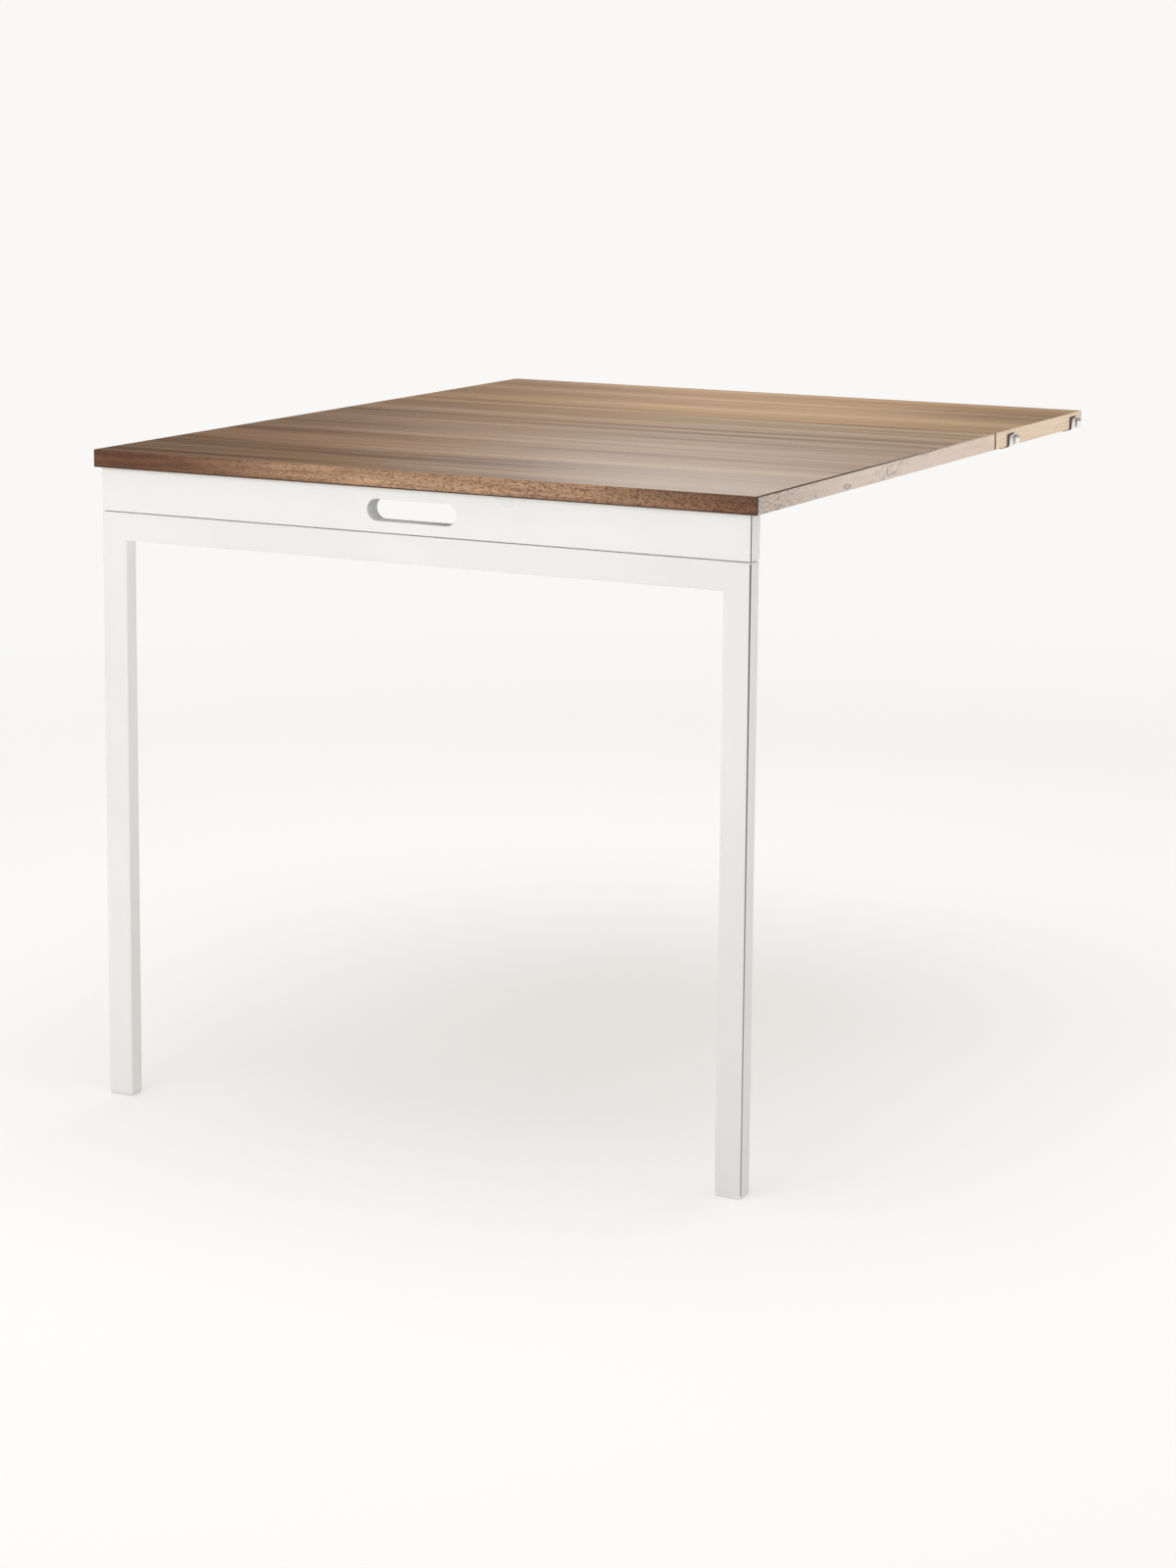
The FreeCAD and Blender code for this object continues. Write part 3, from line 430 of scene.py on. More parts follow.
def side_band_colour(board, tone):
    """The band at a side: walnut painted pale as a sheen, with a faint broken flame outline.

    Fine dark dashes lie near the front and in patches, and fine streaks run towards the wall.
    """
    place, front, seam = board.place, board.front, board.seam
    flame = noise(place, FLAME_CELL, 2.0, 0.5, 0.35)
    ring = maths("PINGPONG", product(flame, 3.2), 0.5)
    dash = band(noise(place, DASH_CELL, 2.0, 0.65, 0.8), 0.49, 0.62)
    outline = product(falling(ring, 0.0, 0.060), band(dash, 0.0, 0.5, 0.45, 1.0))
    mottled = noise(place, MOTTLE_CELL, 3.0, 0.6)
    body = stepped(mottled, [(0.30, scaled(tone, 0.93)), (0.55, tone), (0.75, scaled(tone, 1.05))])
    near_front = band(board.y, front + 20 * MM, front + 200 * MM, 0.80, 0.0)
    fading = band(board.y, seam - 320 * MM, seam - 150 * MM, 1.0, 0.25)
    patches = product(band(flame, 0.46, 0.60, 0.03, 0.45), fading)
    dashes = product(dash, greatest(near_front, patches))
    dashed = blended(dashes, body, scaled(tone, 0.38))
    outlined = product(outline, band(board.y, seam - 120 * MM, seam, 0.90, 0.10))
    flamed = blended(outlined, dashed, scaled(tone, 0.42))
    fine = band(noise(place, SIDE_STREAK_CELL, 3.0, 0.65), 0.50, 0.66, 0.0, 0.36)
    streaks = product(fine, band(board.y, seam - 150 * MM, seam + 10 * MM, 0.15, 1.0))
    streaked = blended(streaks, flamed, scaled(tone, 0.60))
    # Painted shade: the side band darkens towards the front.
    shade = band(board.y, front, front + SIDE_PAINTED_SHADE_REACH, 0.78, 1.0)
    warm = seam - SIDE_WARM_REACH
    red, blue = (product(shade, band(board.y, warm, seam, 1.0, end)) for end in (1.045, 0.93))
    return blended(1.0, streaked, colour_of(red, shade, blue), "MULTIPLY")


def notch_shadow(board):
    """Painted shadow on the side face in front of each hook's notch, and along the bottom before it."""
    low, high = board.low, board.high
    gap = away_from(board.y, *(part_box(hook)[1].y - STRIP_WIDTH - NOTCH_GAP for hook in RIGHT_HOOKS))
    below_top = falling(board.z, high.z - 5.5 * MM, high.z - 4 * MM)
    upright = product(band(gap, 2.5 * MM, 7 * MM, 0.95, 0.0), below_top)
    at_bottom = falling(board.z, low.z + 1 * MM, low.z + 2 * MM)
    foot = product(band(gap, 6 * MM, 9 * MM, 0.97, 0.0), at_bottom)
    return product(greatest(upright, foot), board.on_side)


def notch_wall_shade(board):
    """Painted shade inside the hooks' notches, but for their upper part."""
    low, high = board.low, board.high
    half_depth = (high.y - low.y) / 2
    from_middle = away_from(board.y, (low.y + high.y) / 2)
    off_the_ends = falling(from_middle, half_depth - 8 * MM, half_depth - 6 * MM)
    inboard = falling(maths("ABSOLUTE", board.x), high.x - 1 * MM, high.x - 0.5 * MM)
    side_wall = product(inboard, band(board.z, -2 * MM, 2.5 * MM, 1.0, 0.45), board.on_side)
    return greatest(product(board.on_front, off_the_ends), side_wall)


def edge_lines_and_shade(board, in_seam, settings):
    """The veneer's cut edges at the sides and along the bottom, and painted shade in and beside the seam and
    in the notches.
    """
    seam = board.seam
    under_face = board.high.z - settings.veneer_thickness
    over_base = board.low.z + settings.veneer_thickness
    band_end = board.front + settings.band_thickness
    on_leaf = falling(board.y, seam - SOFT, seam + SOFT)
    fading = band(board.y, seam - 450 * MM, seam, 1.0, 0.25)
    face_line = product(band(board.z, under_face - SOFT, under_face + SOFT), on_leaf, fading)
    behind_front = falling(board.y, band_end - SOFT, band_end + SOFT)
    # Painted shade beside the seam, on the side faces.
    beside_seam_shade = band(board.from_seam, 2 * MM, 2.4 * MM, 0.85, 0.0)
    side_lines = greatest(face_line, behind_front, beside_seam_shade)
    cut_edges_and_seam_shade = product(side_lines, band(board.x_way, 0.30, 0.40))
    bottom = product(falling(board.z, over_base - SOFT, over_base + SOFT), board.on_front)
    # Painted shade on the seam's faces.
    seam_shade = product(in_seam, band(board.y_way, 0.30, 0.40, 0.0, 0.78))
    return greatest(cut_edges_and_seam_shade, bottom, seam_shade, notch_wall_shade(board))


def walnut(node, back_share, side_sheen_tone, right_shade, settings):
    """Walnut veneer with its grain along X, and edge bands on the front, the back and the sides."""
    board = Board(node)
    grain = grain_heights(board.place, settings)
    _, lines, hairs, pores = grain
    faced = veneer_colour(board, grain, back_share, right_shade, settings)
    off_seam = band(board.from_seam, SEAM_REACH, SEAM_REACH + SOFT)
    on_band = product(board.on_front, off_seam)
    edged = blended(on_band, faced, lipping_colour(board, hairs, settings))
    sided = blended(board.on_side, edged, side_band_colour(board, side_sheen_tone))
    # Painted shadow in front of the hooks' notches.
    notch_shadowed = blended(notch_shadow(board), sided, NOTCH_SHADOW_TONE)
    below_top = falling(board.z, board.high.z - 1 * MM, board.high.z - 0.6 * MM)
    in_seam = product(maths("SUBTRACT", 1.0, off_seam), below_top)
    # Cut edges of the veneer, with painted shade in and beside the seam and in the notches.
    dark = product(edge_lines_and_shade(board, in_seam, settings), LINE_STRENGTH)
    lined = blended(dark, notch_shadowed, settings.veneer_edge_and_shade)
    relief = maths("SUBTRACT", product(lines, 0.5), pores)
    dulled = band(board.y, board.front, board.seam, settings.gloss, settings.shelf_gloss)
    uneven = maths("ADD", dulled, band(lines, 0.2, 0.8, -0.04, 0.05))
    rough = greatest(band(board.z_way, 0.2, 0.8, 0.62, uneven), in_seam)
    return finished(board.material, lined, rough, relief, settings.pore_depth, IOR=1.5)


class TABLE_OT_boards(Operator):
    """Veneer the shelf and the drop leaf in walnut"""

    bl_idname = "table.boards"
    bl_label = "Veneer the Boards"

    def execute(self, context):
        settings = context.scene.table_walnut
        for node, back_share, side_sheen_tone, right_shade in (
            ("shelf_board", (0.92, 1.0), settings.shelf_side_sheen, 0.86),
            ("leaf_board", (0.0, 0.35), settings.leaf_side_sheen, 1.0),
        ):
            paint(walnut(node, back_share, tuple(side_sheen_tone), right_shade, settings), node)
        return {"FINISHED"}


# White finishes

CLOUD_CELL = 160 * MM
DUST_CELL = 2.4 * MM
# Painted shade line at the right end's front corner: its reach and strengths.
CORNER_SHADE_REACH = 3.5 * MM
CORNER_SHADE_STRENGTHS = (0.60, 1.0)
SLOT_REACH = 60 * MM
# Painted shade: the slot walls' cool grey tint.
SLOT_WALL_SHADE_TINT = (0.92, 0.95, 0.98)
SLOT_SHADE = (0.10, 0.098, 0.096)


def corner_shade_line(here, way):
    """A thin line of painted shade down the rounded front corner at the right end, stronger towards the top.
    """
    x_way, y_way, _ = parted(way)
    x, _, z = parted(here)
    turned = product(band(x_way, 0.20, 0.30), falling(x_way, 0.80, 0.92))
    to_front = falling(y_way, -0.30, -0.20)
    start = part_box("crossbar")[1].x - CORNER_SHADE_REACH
    right_end = band(x, start, start + 1 * MM)
    foot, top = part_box("leg_right")[0].z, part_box("apron")[1].z
    return product(turned, to_front, right_end, band(z, foot, top, *CORNER_SHADE_STRENGTHS))


def inside_slot(here, way):
    """The walls of the apron's slot, and how much painted shade they get towards the top and the sill's right
    end.
    """
    y_way = parted(way)[1]
    x, _, z = parted(here)
    low, high = (corner.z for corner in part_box("apron"))
    inward = falling(maths("ABSOLUTE", y_way), 0.55, 0.75)
    middle = falling(maths("ABSOLUTE", x), SLOT_REACH, SLOT_REACH + 2 * MM)
    walls = product(inward, band(z, low + 4 * MM, low + 5 * MM), middle)
    upper = band(z, low + 16 * MM, high - 13 * MM, 0.0, 0.66)
    sill = falling(z, low + 13 * MM, low + 17 * MM)
    right_sill = product(sill, band(x, -5 * MM, 48 * MM, 0.0, 0.42))
    return walls, product(walls, greatest(upper, right_sill))


def white_finish(name, tone, cell, depth, roughness, slotted=False):
    """A sprayed or powder-coated white: a fine even texture, with its tone a little uneven.

    Painted shade darkens it towards the foot of the right leg, and painted light brightens it towards the top
    inside the left one.
    """
    material, here, way = new_material(name)
    x, _, z = parted(here)
    peel = noise(here, cell, 2.0, 0.55)
    cloud = noise(here, CLOUD_CELL)
    dust = band(noise(here, DUST_CELL, 1.0), 0.72, 0.80)
    body = stepped(cloud, [(0.30, scaled(tone, 0.975)), (0.70, scaled(tone, 1.015))])
    foot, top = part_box("leg_right")[0].z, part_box("crossbar")[0].z
    # Painted shade: darker towards the foot of the right leg.
    foot_shade = product(band(x, 0.0, 340 * MM), band(z, foot, top, 0.11, 0.0))
    foot_shaded = blended(foot_shade, body, (0, 0, 0))
    x_way = parted(way)[0]
    # Painted light: lighter towards the top on the inner face of the left leg.
    left_inner = product(band(x_way, 0.6, 0.8), falling(x, -300 * MM, -250 * MM))
    lit = blended(product(left_inner, band(z, foot, top)), foot_shaded, (1, 1, 1))
    coated = blended(product(dust, 0.05), lit, scaled(tone, 0.6))
    if slotted:
        walls, shaded = inside_slot(here, way)
        # Painted shade in the slot: a cool grey tint on its walls, darker towards the top and the sill's
        # right end.
        coated = blended(shaded, blended(walls, coated, SLOT_WALL_SHADE_TINT), SLOT_SHADE)
    # Painted shade line down the right end's front corner.
    lined = blended(corner_shade_line(here, way), coated, scaled(tone, 0.10))
    rough = band(cloud, 0.3, 0.7, roughness - 0.03, roughness + 0.04)
    return finished(material, lined, rough, peel, depth, IOR=1.5)


class TABLE_OT_apron(Operator):
    """Lacquer the apron white"""

    bl_idname = "table.apron"
    bl_label = "Lacquer the Apron"

    def execute(self, context):
        settings = context.scene.table_paint
        tone, cell, rough = tuple(settings.lacquer), settings.peel_size, settings.lacquer_roughness
        finish = white_finish("apron_lacquer", tone, cell, 0.02 * MM, rough, slotted=True)
        paint(finish, "apron")
        return {"FINISHED"}


class TABLE_OT_leg_frame(Operator):
    """Powder-coat the crossbar and the legs"""

    bl_idname = "table.leg_frame"
    bl_label = "Coat the Leg Frame"

    def execute(self, context):
        settings = context.scene.table_paint
        tone, cell, rough = tuple(settings.powder), settings.grain_size, settings.powder_roughness
        finish = white_finish("powder_coat", tone, cell, 0.025 * MM, rough)
        paint(finish, "crossbar", "leg_left", "leg_right")
        return {"FINISHED"}


# Hooks


def hook_shade_lines(here, way):
    """Lines of painted shade: the strip's front edge, the prong's front corner and the plate's edge under the
    board.
    """
    x, y, z = parted(here)
    _, y_way, z_way = facing(way)
    low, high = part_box("hook_front_right")
    side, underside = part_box("shelf_board")[1].x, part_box("shelf_board")[0].z
    out = maths("ABSOLUTE", x)
    from_front = away_from(y, *(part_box(hook)[1].y - STRIP_WIDTH for hook in RIGHT_HOOKS))
    at_front = falling(from_front, 2.5 * MM, 4 * MM)
    prong_start = band(out, side + 4.9 * MM, side + 5.2 * MM)
    prong_end = falling(out, side + 6.4 * MM, side + 6.8 * MM)
    towards_top = band(z, low.z, high.z - 3 * MM, 0.35, 0.9)
    corner = product(prong_start, prong_end, towards_top, at_front)
    inner_strip = band(out, side + 0.2 * MM, side + 0.9 * MM, 0.9, 0.0)
    lower_part = band(z, -2 * MM, 3.5 * MM, 1.0, 0.4)
    strip_front = product(inner_strip, lower_part, band(y_way, 0.7, 0.9))
    under_board = band(z, underside, underside + 0.2 * MM, 0.85, 0.0)
    on_edge = falling(z_way, 0.4, 0.6)
    plate_edge = product(under_board, on_edge, falling(out, side - 2.8 * MM, side - 2.4 * MM))
    return greatest(corner, strip_front, plate_edge)


def hook_finish(settings):
    """Bright plating with fine polishing lines, dulled where the rung bears inside the bend."""
    material, here, way = new_material("hook_plating")
    x, _, z = parted(here)
    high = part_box("hook_front_right")[1]
    from_seat = maths("SUBTRACT", maths("ABSOLUTE", x), high.x - high.z)
    tree = material.node_tree
    reach = add(tree, "ShaderNodeCombineXYZ", {0: from_seat, 2: z}).outputs[0]
    radius = add(tree, "ShaderNodeVectorMath", {0: reach}, operation="LENGTH").outputs["Value"]
    in_bend = falling(radius, 3 * MM, 3.4 * MM)
    lines = noise(here, (0.5 * MM, 18 * MM, 0.5 * MM), 2.0, 0.6)
    scuff = noise(here, (1.2 * MM, 5 * MM, 1.2 * MM), 3.0, 0.7)
    worn = product(in_bend, band(scuff, 0.42, 0.60))
    tone = tuple(settings.hook)
    body = stepped(scuff, [(0.25, scaled(tone, 0.95)), (0.6, tone)])
    dulled = blended(worn, body, scaled(tone, 0.55))
    # Painted shade lines on the hooks.
    edged = blended(hook_shade_lines(here, way), dulled, scaled(tone, 0.10))
    rough = band(worn, 0.0, 1.0, 0.28, 0.42)
    return finished(material, edged, rough, lines, 0.004 * MM, Metallic=0.6)


class TABLE_OT_hooks(Operator):
    """Plate the four hooks, dulled where they bear on a rung"""

    bl_idname = "table.hooks"
    bl_label = "Plate the Hooks"

    def execute(self, context):
        finish = hook_finish(context.scene.table_fittings)
        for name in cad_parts:
            if name.startswith("hook_") and name != "hook_screws":
                paint(finish, name)
        return {"FINISHED"}


# Metal, plastic, rubber and beech


def plated(name, tone, roughness):
    """Zinc-plated sheet: faint crystals, rolling lines and small stains."""
    material, here, _ = new_material(name)
    tree, crystal_at = material.node_tree, stretched(here, 9 * MM)
    crystal = add(tree, "ShaderNodeTexVoronoi", {"Vector": crystal_at, "Scale": 1.0}).outputs["Color"]
    shade = add(tree, "ShaderNodeSeparateColor", {0: crystal}).outputs[0]
    rolled = noise(here, (30 * MM, 0.4 * MM, 0.4 * MM), 2.0, 0.6)
    stain = noise(here, 20 * MM, 4.0, 0.6)
    body = stepped(shade, [(0.0, scaled(tone, 0.88)), (1.0, scaled(tone, 1.10))])
    stained = blended(band(stain, 0.52, 0.75, 0.0, 0.45), body, scaled(tone, 0.72))
    rough = band(stain, 0.25, 0.75, roughness - 0.07, roughness + 0.12)
    return finished(material, stained, rough, rolled, 0.006 * MM, Metallic=1.0)


def turned_steel(name, tone, roughness):
    """Bright steel with fine drawing lines and a little tarnish."""
    material, here, _ = new_material(name)
    drawn = noise(here, (6 * MM, 0.3 * MM, 0.3 * MM), 2.0, 0.6)
    tarnish = noise(here, 4 * MM, 4.0, 0.65)
    body = stepped(tarnish, [(0.30, scaled(tone, 0.78)), (0.62, scaled(tone, 1.08))])
    rough = band(tarnish, 0.3, 0.7, roughness + 0.10, roughness - 0.05)
    return finished(material, body, rough, drawn, 0.004 * MM, Metallic=1.0)


def moulded(name, tone, cell, depth, roughness, scuffed=0.10):
    """Moulded plastic or rubber: a fine matt texture with light scuffs."""
    material, here, _ = new_material(name)
    skin = noise(here, cell, 2.0, 0.6)
    scuff = noise(here, (12 * MM, 2 * MM, 6 * MM), 4.0, 0.7)
    body = stepped(scuff, [(0.35, scaled(tone, 1 - scuffed)), (0.65, tone)])
    rough = band(scuff, 0.3, 0.7, roughness + 0.08, roughness - 0.04)
    return finished(material, body, rough, skin, depth, IOR=1.48)


def beech(tone):
    """Turned beech with its short flecks along the dowel."""
    material, here, _ = new_material("beech")
    grain = noise(here, (1.4 * MM, 1.4 * MM, 20 * MM), 3.0, 0.6)
    fleck = band(noise(here, (0.5 * MM, 0.5 * MM, 2.2 * MM), 1.0), 0.62, 0.74)
    body = stepped(grain, [(0.30, scaled(tone, 0.82)), (0.70, scaled(tone, 1.12))])
    flecked = blended(product(fleck, 0.5), body, scaled(tone, 0.5))
    return finished(material, flecked, 0.62, grain, 0.05 * MM)


class TABLE_OT_hardware(Operator):
    """Plate the hinges, angles and brackets, and brighten the pins"""

    bl_idname = "table.hardware"
    bl_label = "Plate the Hardware"

    def execute(self, context):
        settings = context.scene.table_fittings
        plate = plated("zinc_plate", tuple(settings.zinc), 0.36)
        pin = turned_steel("pin_steel", tuple(settings.pin), 0.24)
        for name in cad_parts:
            if name.endswith("_plate") or "bracket_l" in name or "bracket_r" in name:
                paint(plate, name)
            elif name.startswith("apron_angle_") and name[-1].isdigit():
                paint(plate, name)
            elif "_pin" in name:
                paint(pin, name)
        return {"FINISHED"}


class TABLE_OT_pads(Operator):
    """Finish the glides, the pads and the dowels"""

    bl_idname = "table.pads"
    bl_label = "Finish Glides and Pads"

    def execute(self, context):
        settings = context.scene.table_fittings
        glide = moulded("glide_plastic", tuple(settings.glide), 0.6 * MM, 0.02 * MM, 0.46)
        rubber = moulded("rubber_pad", tuple(settings.rubber), 0.9 * MM, 0.03 * MM, 0.66, 0.16)
        paint(glide, "glide_left", "glide_right")
        paint(rubber, "bumper_pads", "leg_rest_pads")
        paint(beech(tuple(settings.beech)), "apron_dowels")
        return {"FINISHED"}


# Screws and rivets, set out by Geometry Nodes. A share is a part of a screw's or a rivet's own size.

SCREW_LENGTH = 15 * MM
SCREW_TIP = 3 * MM
POINT_SHARE = 0.25
CORE_SHARE = 2.2
RIM_SHARE = 0.35
SHOULDER_SHARE = 0.72


def fastener_places(node):
    """Where each fastener of a node has the middle of its head's outer face, and the way that it points."""
    mesh = bmesh.new()
    mesh.from_mesh(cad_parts[node].data)
    bmesh.ops.remove_doubles(mesh, verts=mesh.verts, dist=0.001 * MM)
    left, places = set(mesh.verts), []
    while left:
        island, ahead = set(), [left.pop()]
        while ahead:
            vert = ahead.pop()
            island.add(vert)
            near = {edge.other_vert(vert) for edge in vert.link_edges} & left
            left -= near
            ahead.extend(near)
        places.append(fastener_place([vert.co.copy() for vert in island]))
    mesh.free()
    return sorted(places, key=lambda place: [round(part, 6) for part in place[0]])


def fastener_place(points):
    """The head end of one fastener, which is the end that is wider about its longest axis."""
    low, high = (Vector([end(parts) for parts in zip(*points)]) for end in (min, max))
    size, middle = high - low, (low + high) / 2
    axis = max(range(3), key=lambda number: size[number])
    near_low = [point for point in points if point[axis] < low[axis] + size[axis] / 8]
    near_high = [point for point in points if point[axis] > high[axis] - size[axis] / 8]

    def spread(some):
        return max((point - middle).cross(unit(axis)).length for point in some)

    head_is_low = spread(near_low) > spread(near_high)
    head = middle.copy()
    head[axis] = low[axis] if head_is_low else high[axis]
    return head, unit(axis) * (1 if head_is_low else -1)


def unit(axis):
    return Vector([float(number == axis) for number in range(3)])


def gn_tree(name, lengths):
    """The inputs of a new Geometry Nodes tree: points, named lengths, a material and a seed."""
    tree = bpy.data.node_groups.new(name, "GeometryNodeTree")
    face = tree.interface
    face.new_socket("Geometry", in_out="INPUT", socket_type="NodeSocketGeometry")
    for label in lengths:
        face.new_socket(label, in_out="INPUT", socket_type="NodeSocketFloat").subtype = "DISTANCE"
    face.new_socket("Material", in_out="INPUT", socket_type="NodeSocketMaterial")
    face.new_socket("Seed", in_out="INPUT", socket_type="NodeSocketInt")
    face.new_socket("Geometry", in_out="OUTPUT", socket_type="NodeSocketGeometry")
    return tree.nodes.new("NodeGroupInput").outputs


def cone(top, bottom, height, sides=32, up=0.0):
    """A cone or cylinder that goes up Z from the given height. Top and bottom are radii."""
    tree = bottom.id_data
    inputs = {"Vertices": sides, "Radius Top": top, "Radius Bottom": bottom, "Depth": height}
    made = add(tree, "GeometryNodeMeshCone", inputs).outputs["Mesh"]
    lift = add(tree, "ShaderNodeCombineXYZ", {2: up}).outputs[0]
    return add(tree, "GeometryNodeTransform", {"Geometry": made, "Translation": lift}).outputs[0]


def block(size_x, size_y, size_z):
    """A block centred on the origin."""
    tree = size_x.id_data
    size = add(tree, "ShaderNodeCombineXYZ", {0: size_x, 1: size_y, 2: size_z}).outputs[0]
    return add(tree, "GeometryNodeMeshCube", {"Size": size}).outputs["Mesh"]


def half(value):
    return product(value, 0.5)


def cut(body, *tools):
    """A boolean difference."""
    tree = body.id_data
    node = add(tree, "GeometryNodeMeshBoolean", {"Mesh 1": body}, operation="DIFFERENCE", solver="EXACT")
    for tool in tools:
        tree.links.new(tool, node.inputs["Mesh 2"])
    return node.outputs["Mesh"]


def joined(*parts):
    tree = parts[0].id_data
    node = add(tree, "GeometryNodeJoinGeometry")
    for part in parts:
        tree.links.new(part, node.inputs[0])
    return node.outputs[0]


def set_out(given, fastener):
    """Stands a fastener on every point, with its Z along the point's way and a turn of its own."""
    tree = fastener.id_data
    way = add(tree, "GeometryNodeInputNamedAttribute", {"Name": "way"}, data_type="FLOAT_VECTOR").outputs[0]
    turn_inputs = {2: 0.0, 3: math.tau, "Seed": given["Seed"]}
    turn = add(tree, "FunctionNodeRandomValue", turn_inputs, data_type="FLOAT")
    about_z = {"Axis": (0, 0, 1), "Angle": turn.outputs[1]}
    spin = add(tree, "FunctionNodeAxisAngleToRotation", about_z).outputs[0]
    aim = add(tree, "FunctionNodeAlignRotationToVector", {"Vector": way}, axis="Z").outputs[0]
    turned = add(tree, "FunctionNodeRotateRotation", {0: aim, 1: spin}, rotation_space="LOCAL").outputs[0]
    inputs = {"Points": given["Geometry"], "Instance": fastener, "Rotation": turned}
    copies = add(tree, "GeometryNodeInstanceOnPoints", inputs).outputs[0]
    real = add(tree, "GeometryNodeRealizeInstances", {0: copies}).outputs[0]
    inputs = {"Geometry": real, "Material": given["Material"]}
    coated = add(tree, "GeometryNodeSetMaterial", inputs).outputs[0]
    add(tree, "NodeGroupOutput", {0: coated})
    return tree


def screw_tree():
    """A countersunk screw with a cross recess and a pointed shank, its head's face at the point."""
    lengths = ("Head", "Shank", "Length", "Tip", "Recess Width", "Recess Slot", "Recess Depth")
    given = gn_tree("countersunk_screws", lengths)
    head, shank = half(given["Head"]), half(given["Shank"])
    sink = maths("SUBTRACT", head, shank)
    bevel = cone(shank, head, sink)
    across = block(given["Recess Width"], given["Recess Slot"], given["Recess Depth"])
    along = block(given["Recess Slot"], given["Recess Width"], given["Recess Depth"])
    core_width = product(given["Recess Slot"], CORE_SHARE)
    core = cone(0.2 * MM, half(core_width), given["Recess Depth"], 16)
    topped = cut(bevel, across, along, core)
    straight = maths("SUBTRACT", maths("SUBTRACT", given["Length"], given["Tip"]), sink)
    rod = cone(shank, shank, straight, 20, sink)
    point_at = maths("ADD", straight, sink)
    point = cone(product(shank, POINT_SHARE), shank, given["Tip"], 20, point_at)
    return set_out(given, joined(topped, rod, point))


def rivet_tree():
    """A blind rivet: a domed head with its mandrel hole, a shank and a blind end."""
    lengths = ("Head", "Height", "Shank", "Grip", "Tail", "Tail Length", "Mandrel")
    given = gn_tree("blind_rivets", lengths)
    head, shank = half(given["Head"]), half(given["Shank"])
    height = given["Height"]
    rim_height = product(height, RIM_SHARE)
    dome_height = maths("SUBTRACT", height, rim_height)
    shoulder = cone(head, product(head, SHOULDER_SHARE), dome_height, 40)
    rim = cone(head, head, rim_height, 40, dome_height)
    hole = cone(half(given["Mandrel"]), half(given["Mandrel"]), height, 20)
    lowered = {"Geometry": hole, "Translation": (0, 0, -0.3 * MM)}
    deep = add(hole.id_data, "GeometryNodeTransform", lowered).outputs[0]
    button = cut(shoulder, deep)
    rod = cone(shank, shank, given["Grip"], 24, height)
    end_at = maths("ADD", height, given["Grip"])
    tail = cone(half(given["Tail"]), half(given["Tail"]), given["Tail Length"], 24, end_at)
    return set_out(given, joined(button, rim, rod, tail))


def fasteners(name, body, tree, nodes, values, material, seed):
    """Makes one body's screws or rivets as a plain mesh that stands for its nodes."""
    places = [place for node in nodes for place in fastener_places(node)]
    points = bpy.data.meshes.new(f"{name}_points")
    points.from_pydata([head for head, way in places], [], [])
    ways = points.attributes.new("way", "FLOAT_VECTOR", "POINT")
    for item, (head, way) in zip(ways.data, places):
        item.vector = way
    piece = bpy.data.objects.new(name, points)
    bpy.context.scene.collection.objects.link(piece)
    modifier = piece.modifiers.new("set out", "NODES")
    modifier.node_group = tree
    given = {**values, "Material": material, "Seed": seed}
    for item in tree.interface.items_tree:
        if item.in_out == "INPUT" and item.name in given:
            modifier[item.identifier] = given[item.name]
    bpy.context.view_layer.update()
    evaluated = piece.evaluated_get(bpy.context.evaluated_depsgraph_get())
    made = bpy.data.meshes.new_from_object(evaluated)
    piece.modifiers.remove(modifier)
    piece.data = made
    bpy.data.meshes.remove(points)
    made.name = name
    if not made.polygons:
        raise RuntimeError(f"{name} came out empty")
    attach(piece, body)
    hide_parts(*nodes)


class TABLE_OT_screws(Operator):
    """Set out the countersunk screws of the shelf and the leaf"""

    bl_idname = "table.screws"
    bl_label = "Set Out the Screws"

    def execute(self, context):
        settings = context.scene.table_fittings
        tree = screw_tree()
        steel = turned_steel("screw_steel", tuple(settings.steel), 0.30)
        values = {
            "Head": settings.head_diameter,
            "Shank": settings.shank_diameter,
            "Length": SCREW_LENGTH,
            "Tip": SCREW_TIP,
            "Recess Width": settings.recess_width,
            "Recess Slot": settings.recess_slot,
            "Recess Depth": settings.recess_depth,
        }
        for name, body, nodes in (
            ("screws_on_shelf", SHELF, ("hook_screws", "shelf_plate_screws")),
            ("screws_on_leaf", LEAF, ("leaf_plate_screws", "apron_angle_screws", "pivot_bracket_screws")),
        ):
            fasteners(name, body, tree, nodes, values, steel, settings.twist_seed)
        return {"FINISHED"}


class TABLE_OT_rivets(Operator):
    """Set out the blind rivets of the leg frame"""

    bl_idname = "table.rivets"
    bl_label = "Set Out the Rivets"

    def execute(self, context):
        settings = context.scene.table_fittings
        low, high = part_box("frame_rivets")
        grip = high.y - low.y - settings.rivet_height - settings.rivet_tail_length
        values = {
            "Head": settings.rivet_head,
            "Height": settings.rivet_height,
            "Shank": settings.rivet_shank,
            "Grip": grip,
            "Tail": settings.rivet_tail,
            "Tail Length": settings.rivet_tail_length,
            "Mandrel": settings.mandrel,
        }
        steel = turned_steel("rivet_steel", tuple(settings.pin), 0.34)
        nodes, seed = ("frame_rivets",), settings.twist_seed
        fasteners("rivets_on_leg_frame", LEG_FRAME, rivet_tree(), nodes, values, steel, seed)
        return {"FINISHED"}


# Stage. A lamp has a name, a place, what it faces, its width and height, and its radiance.

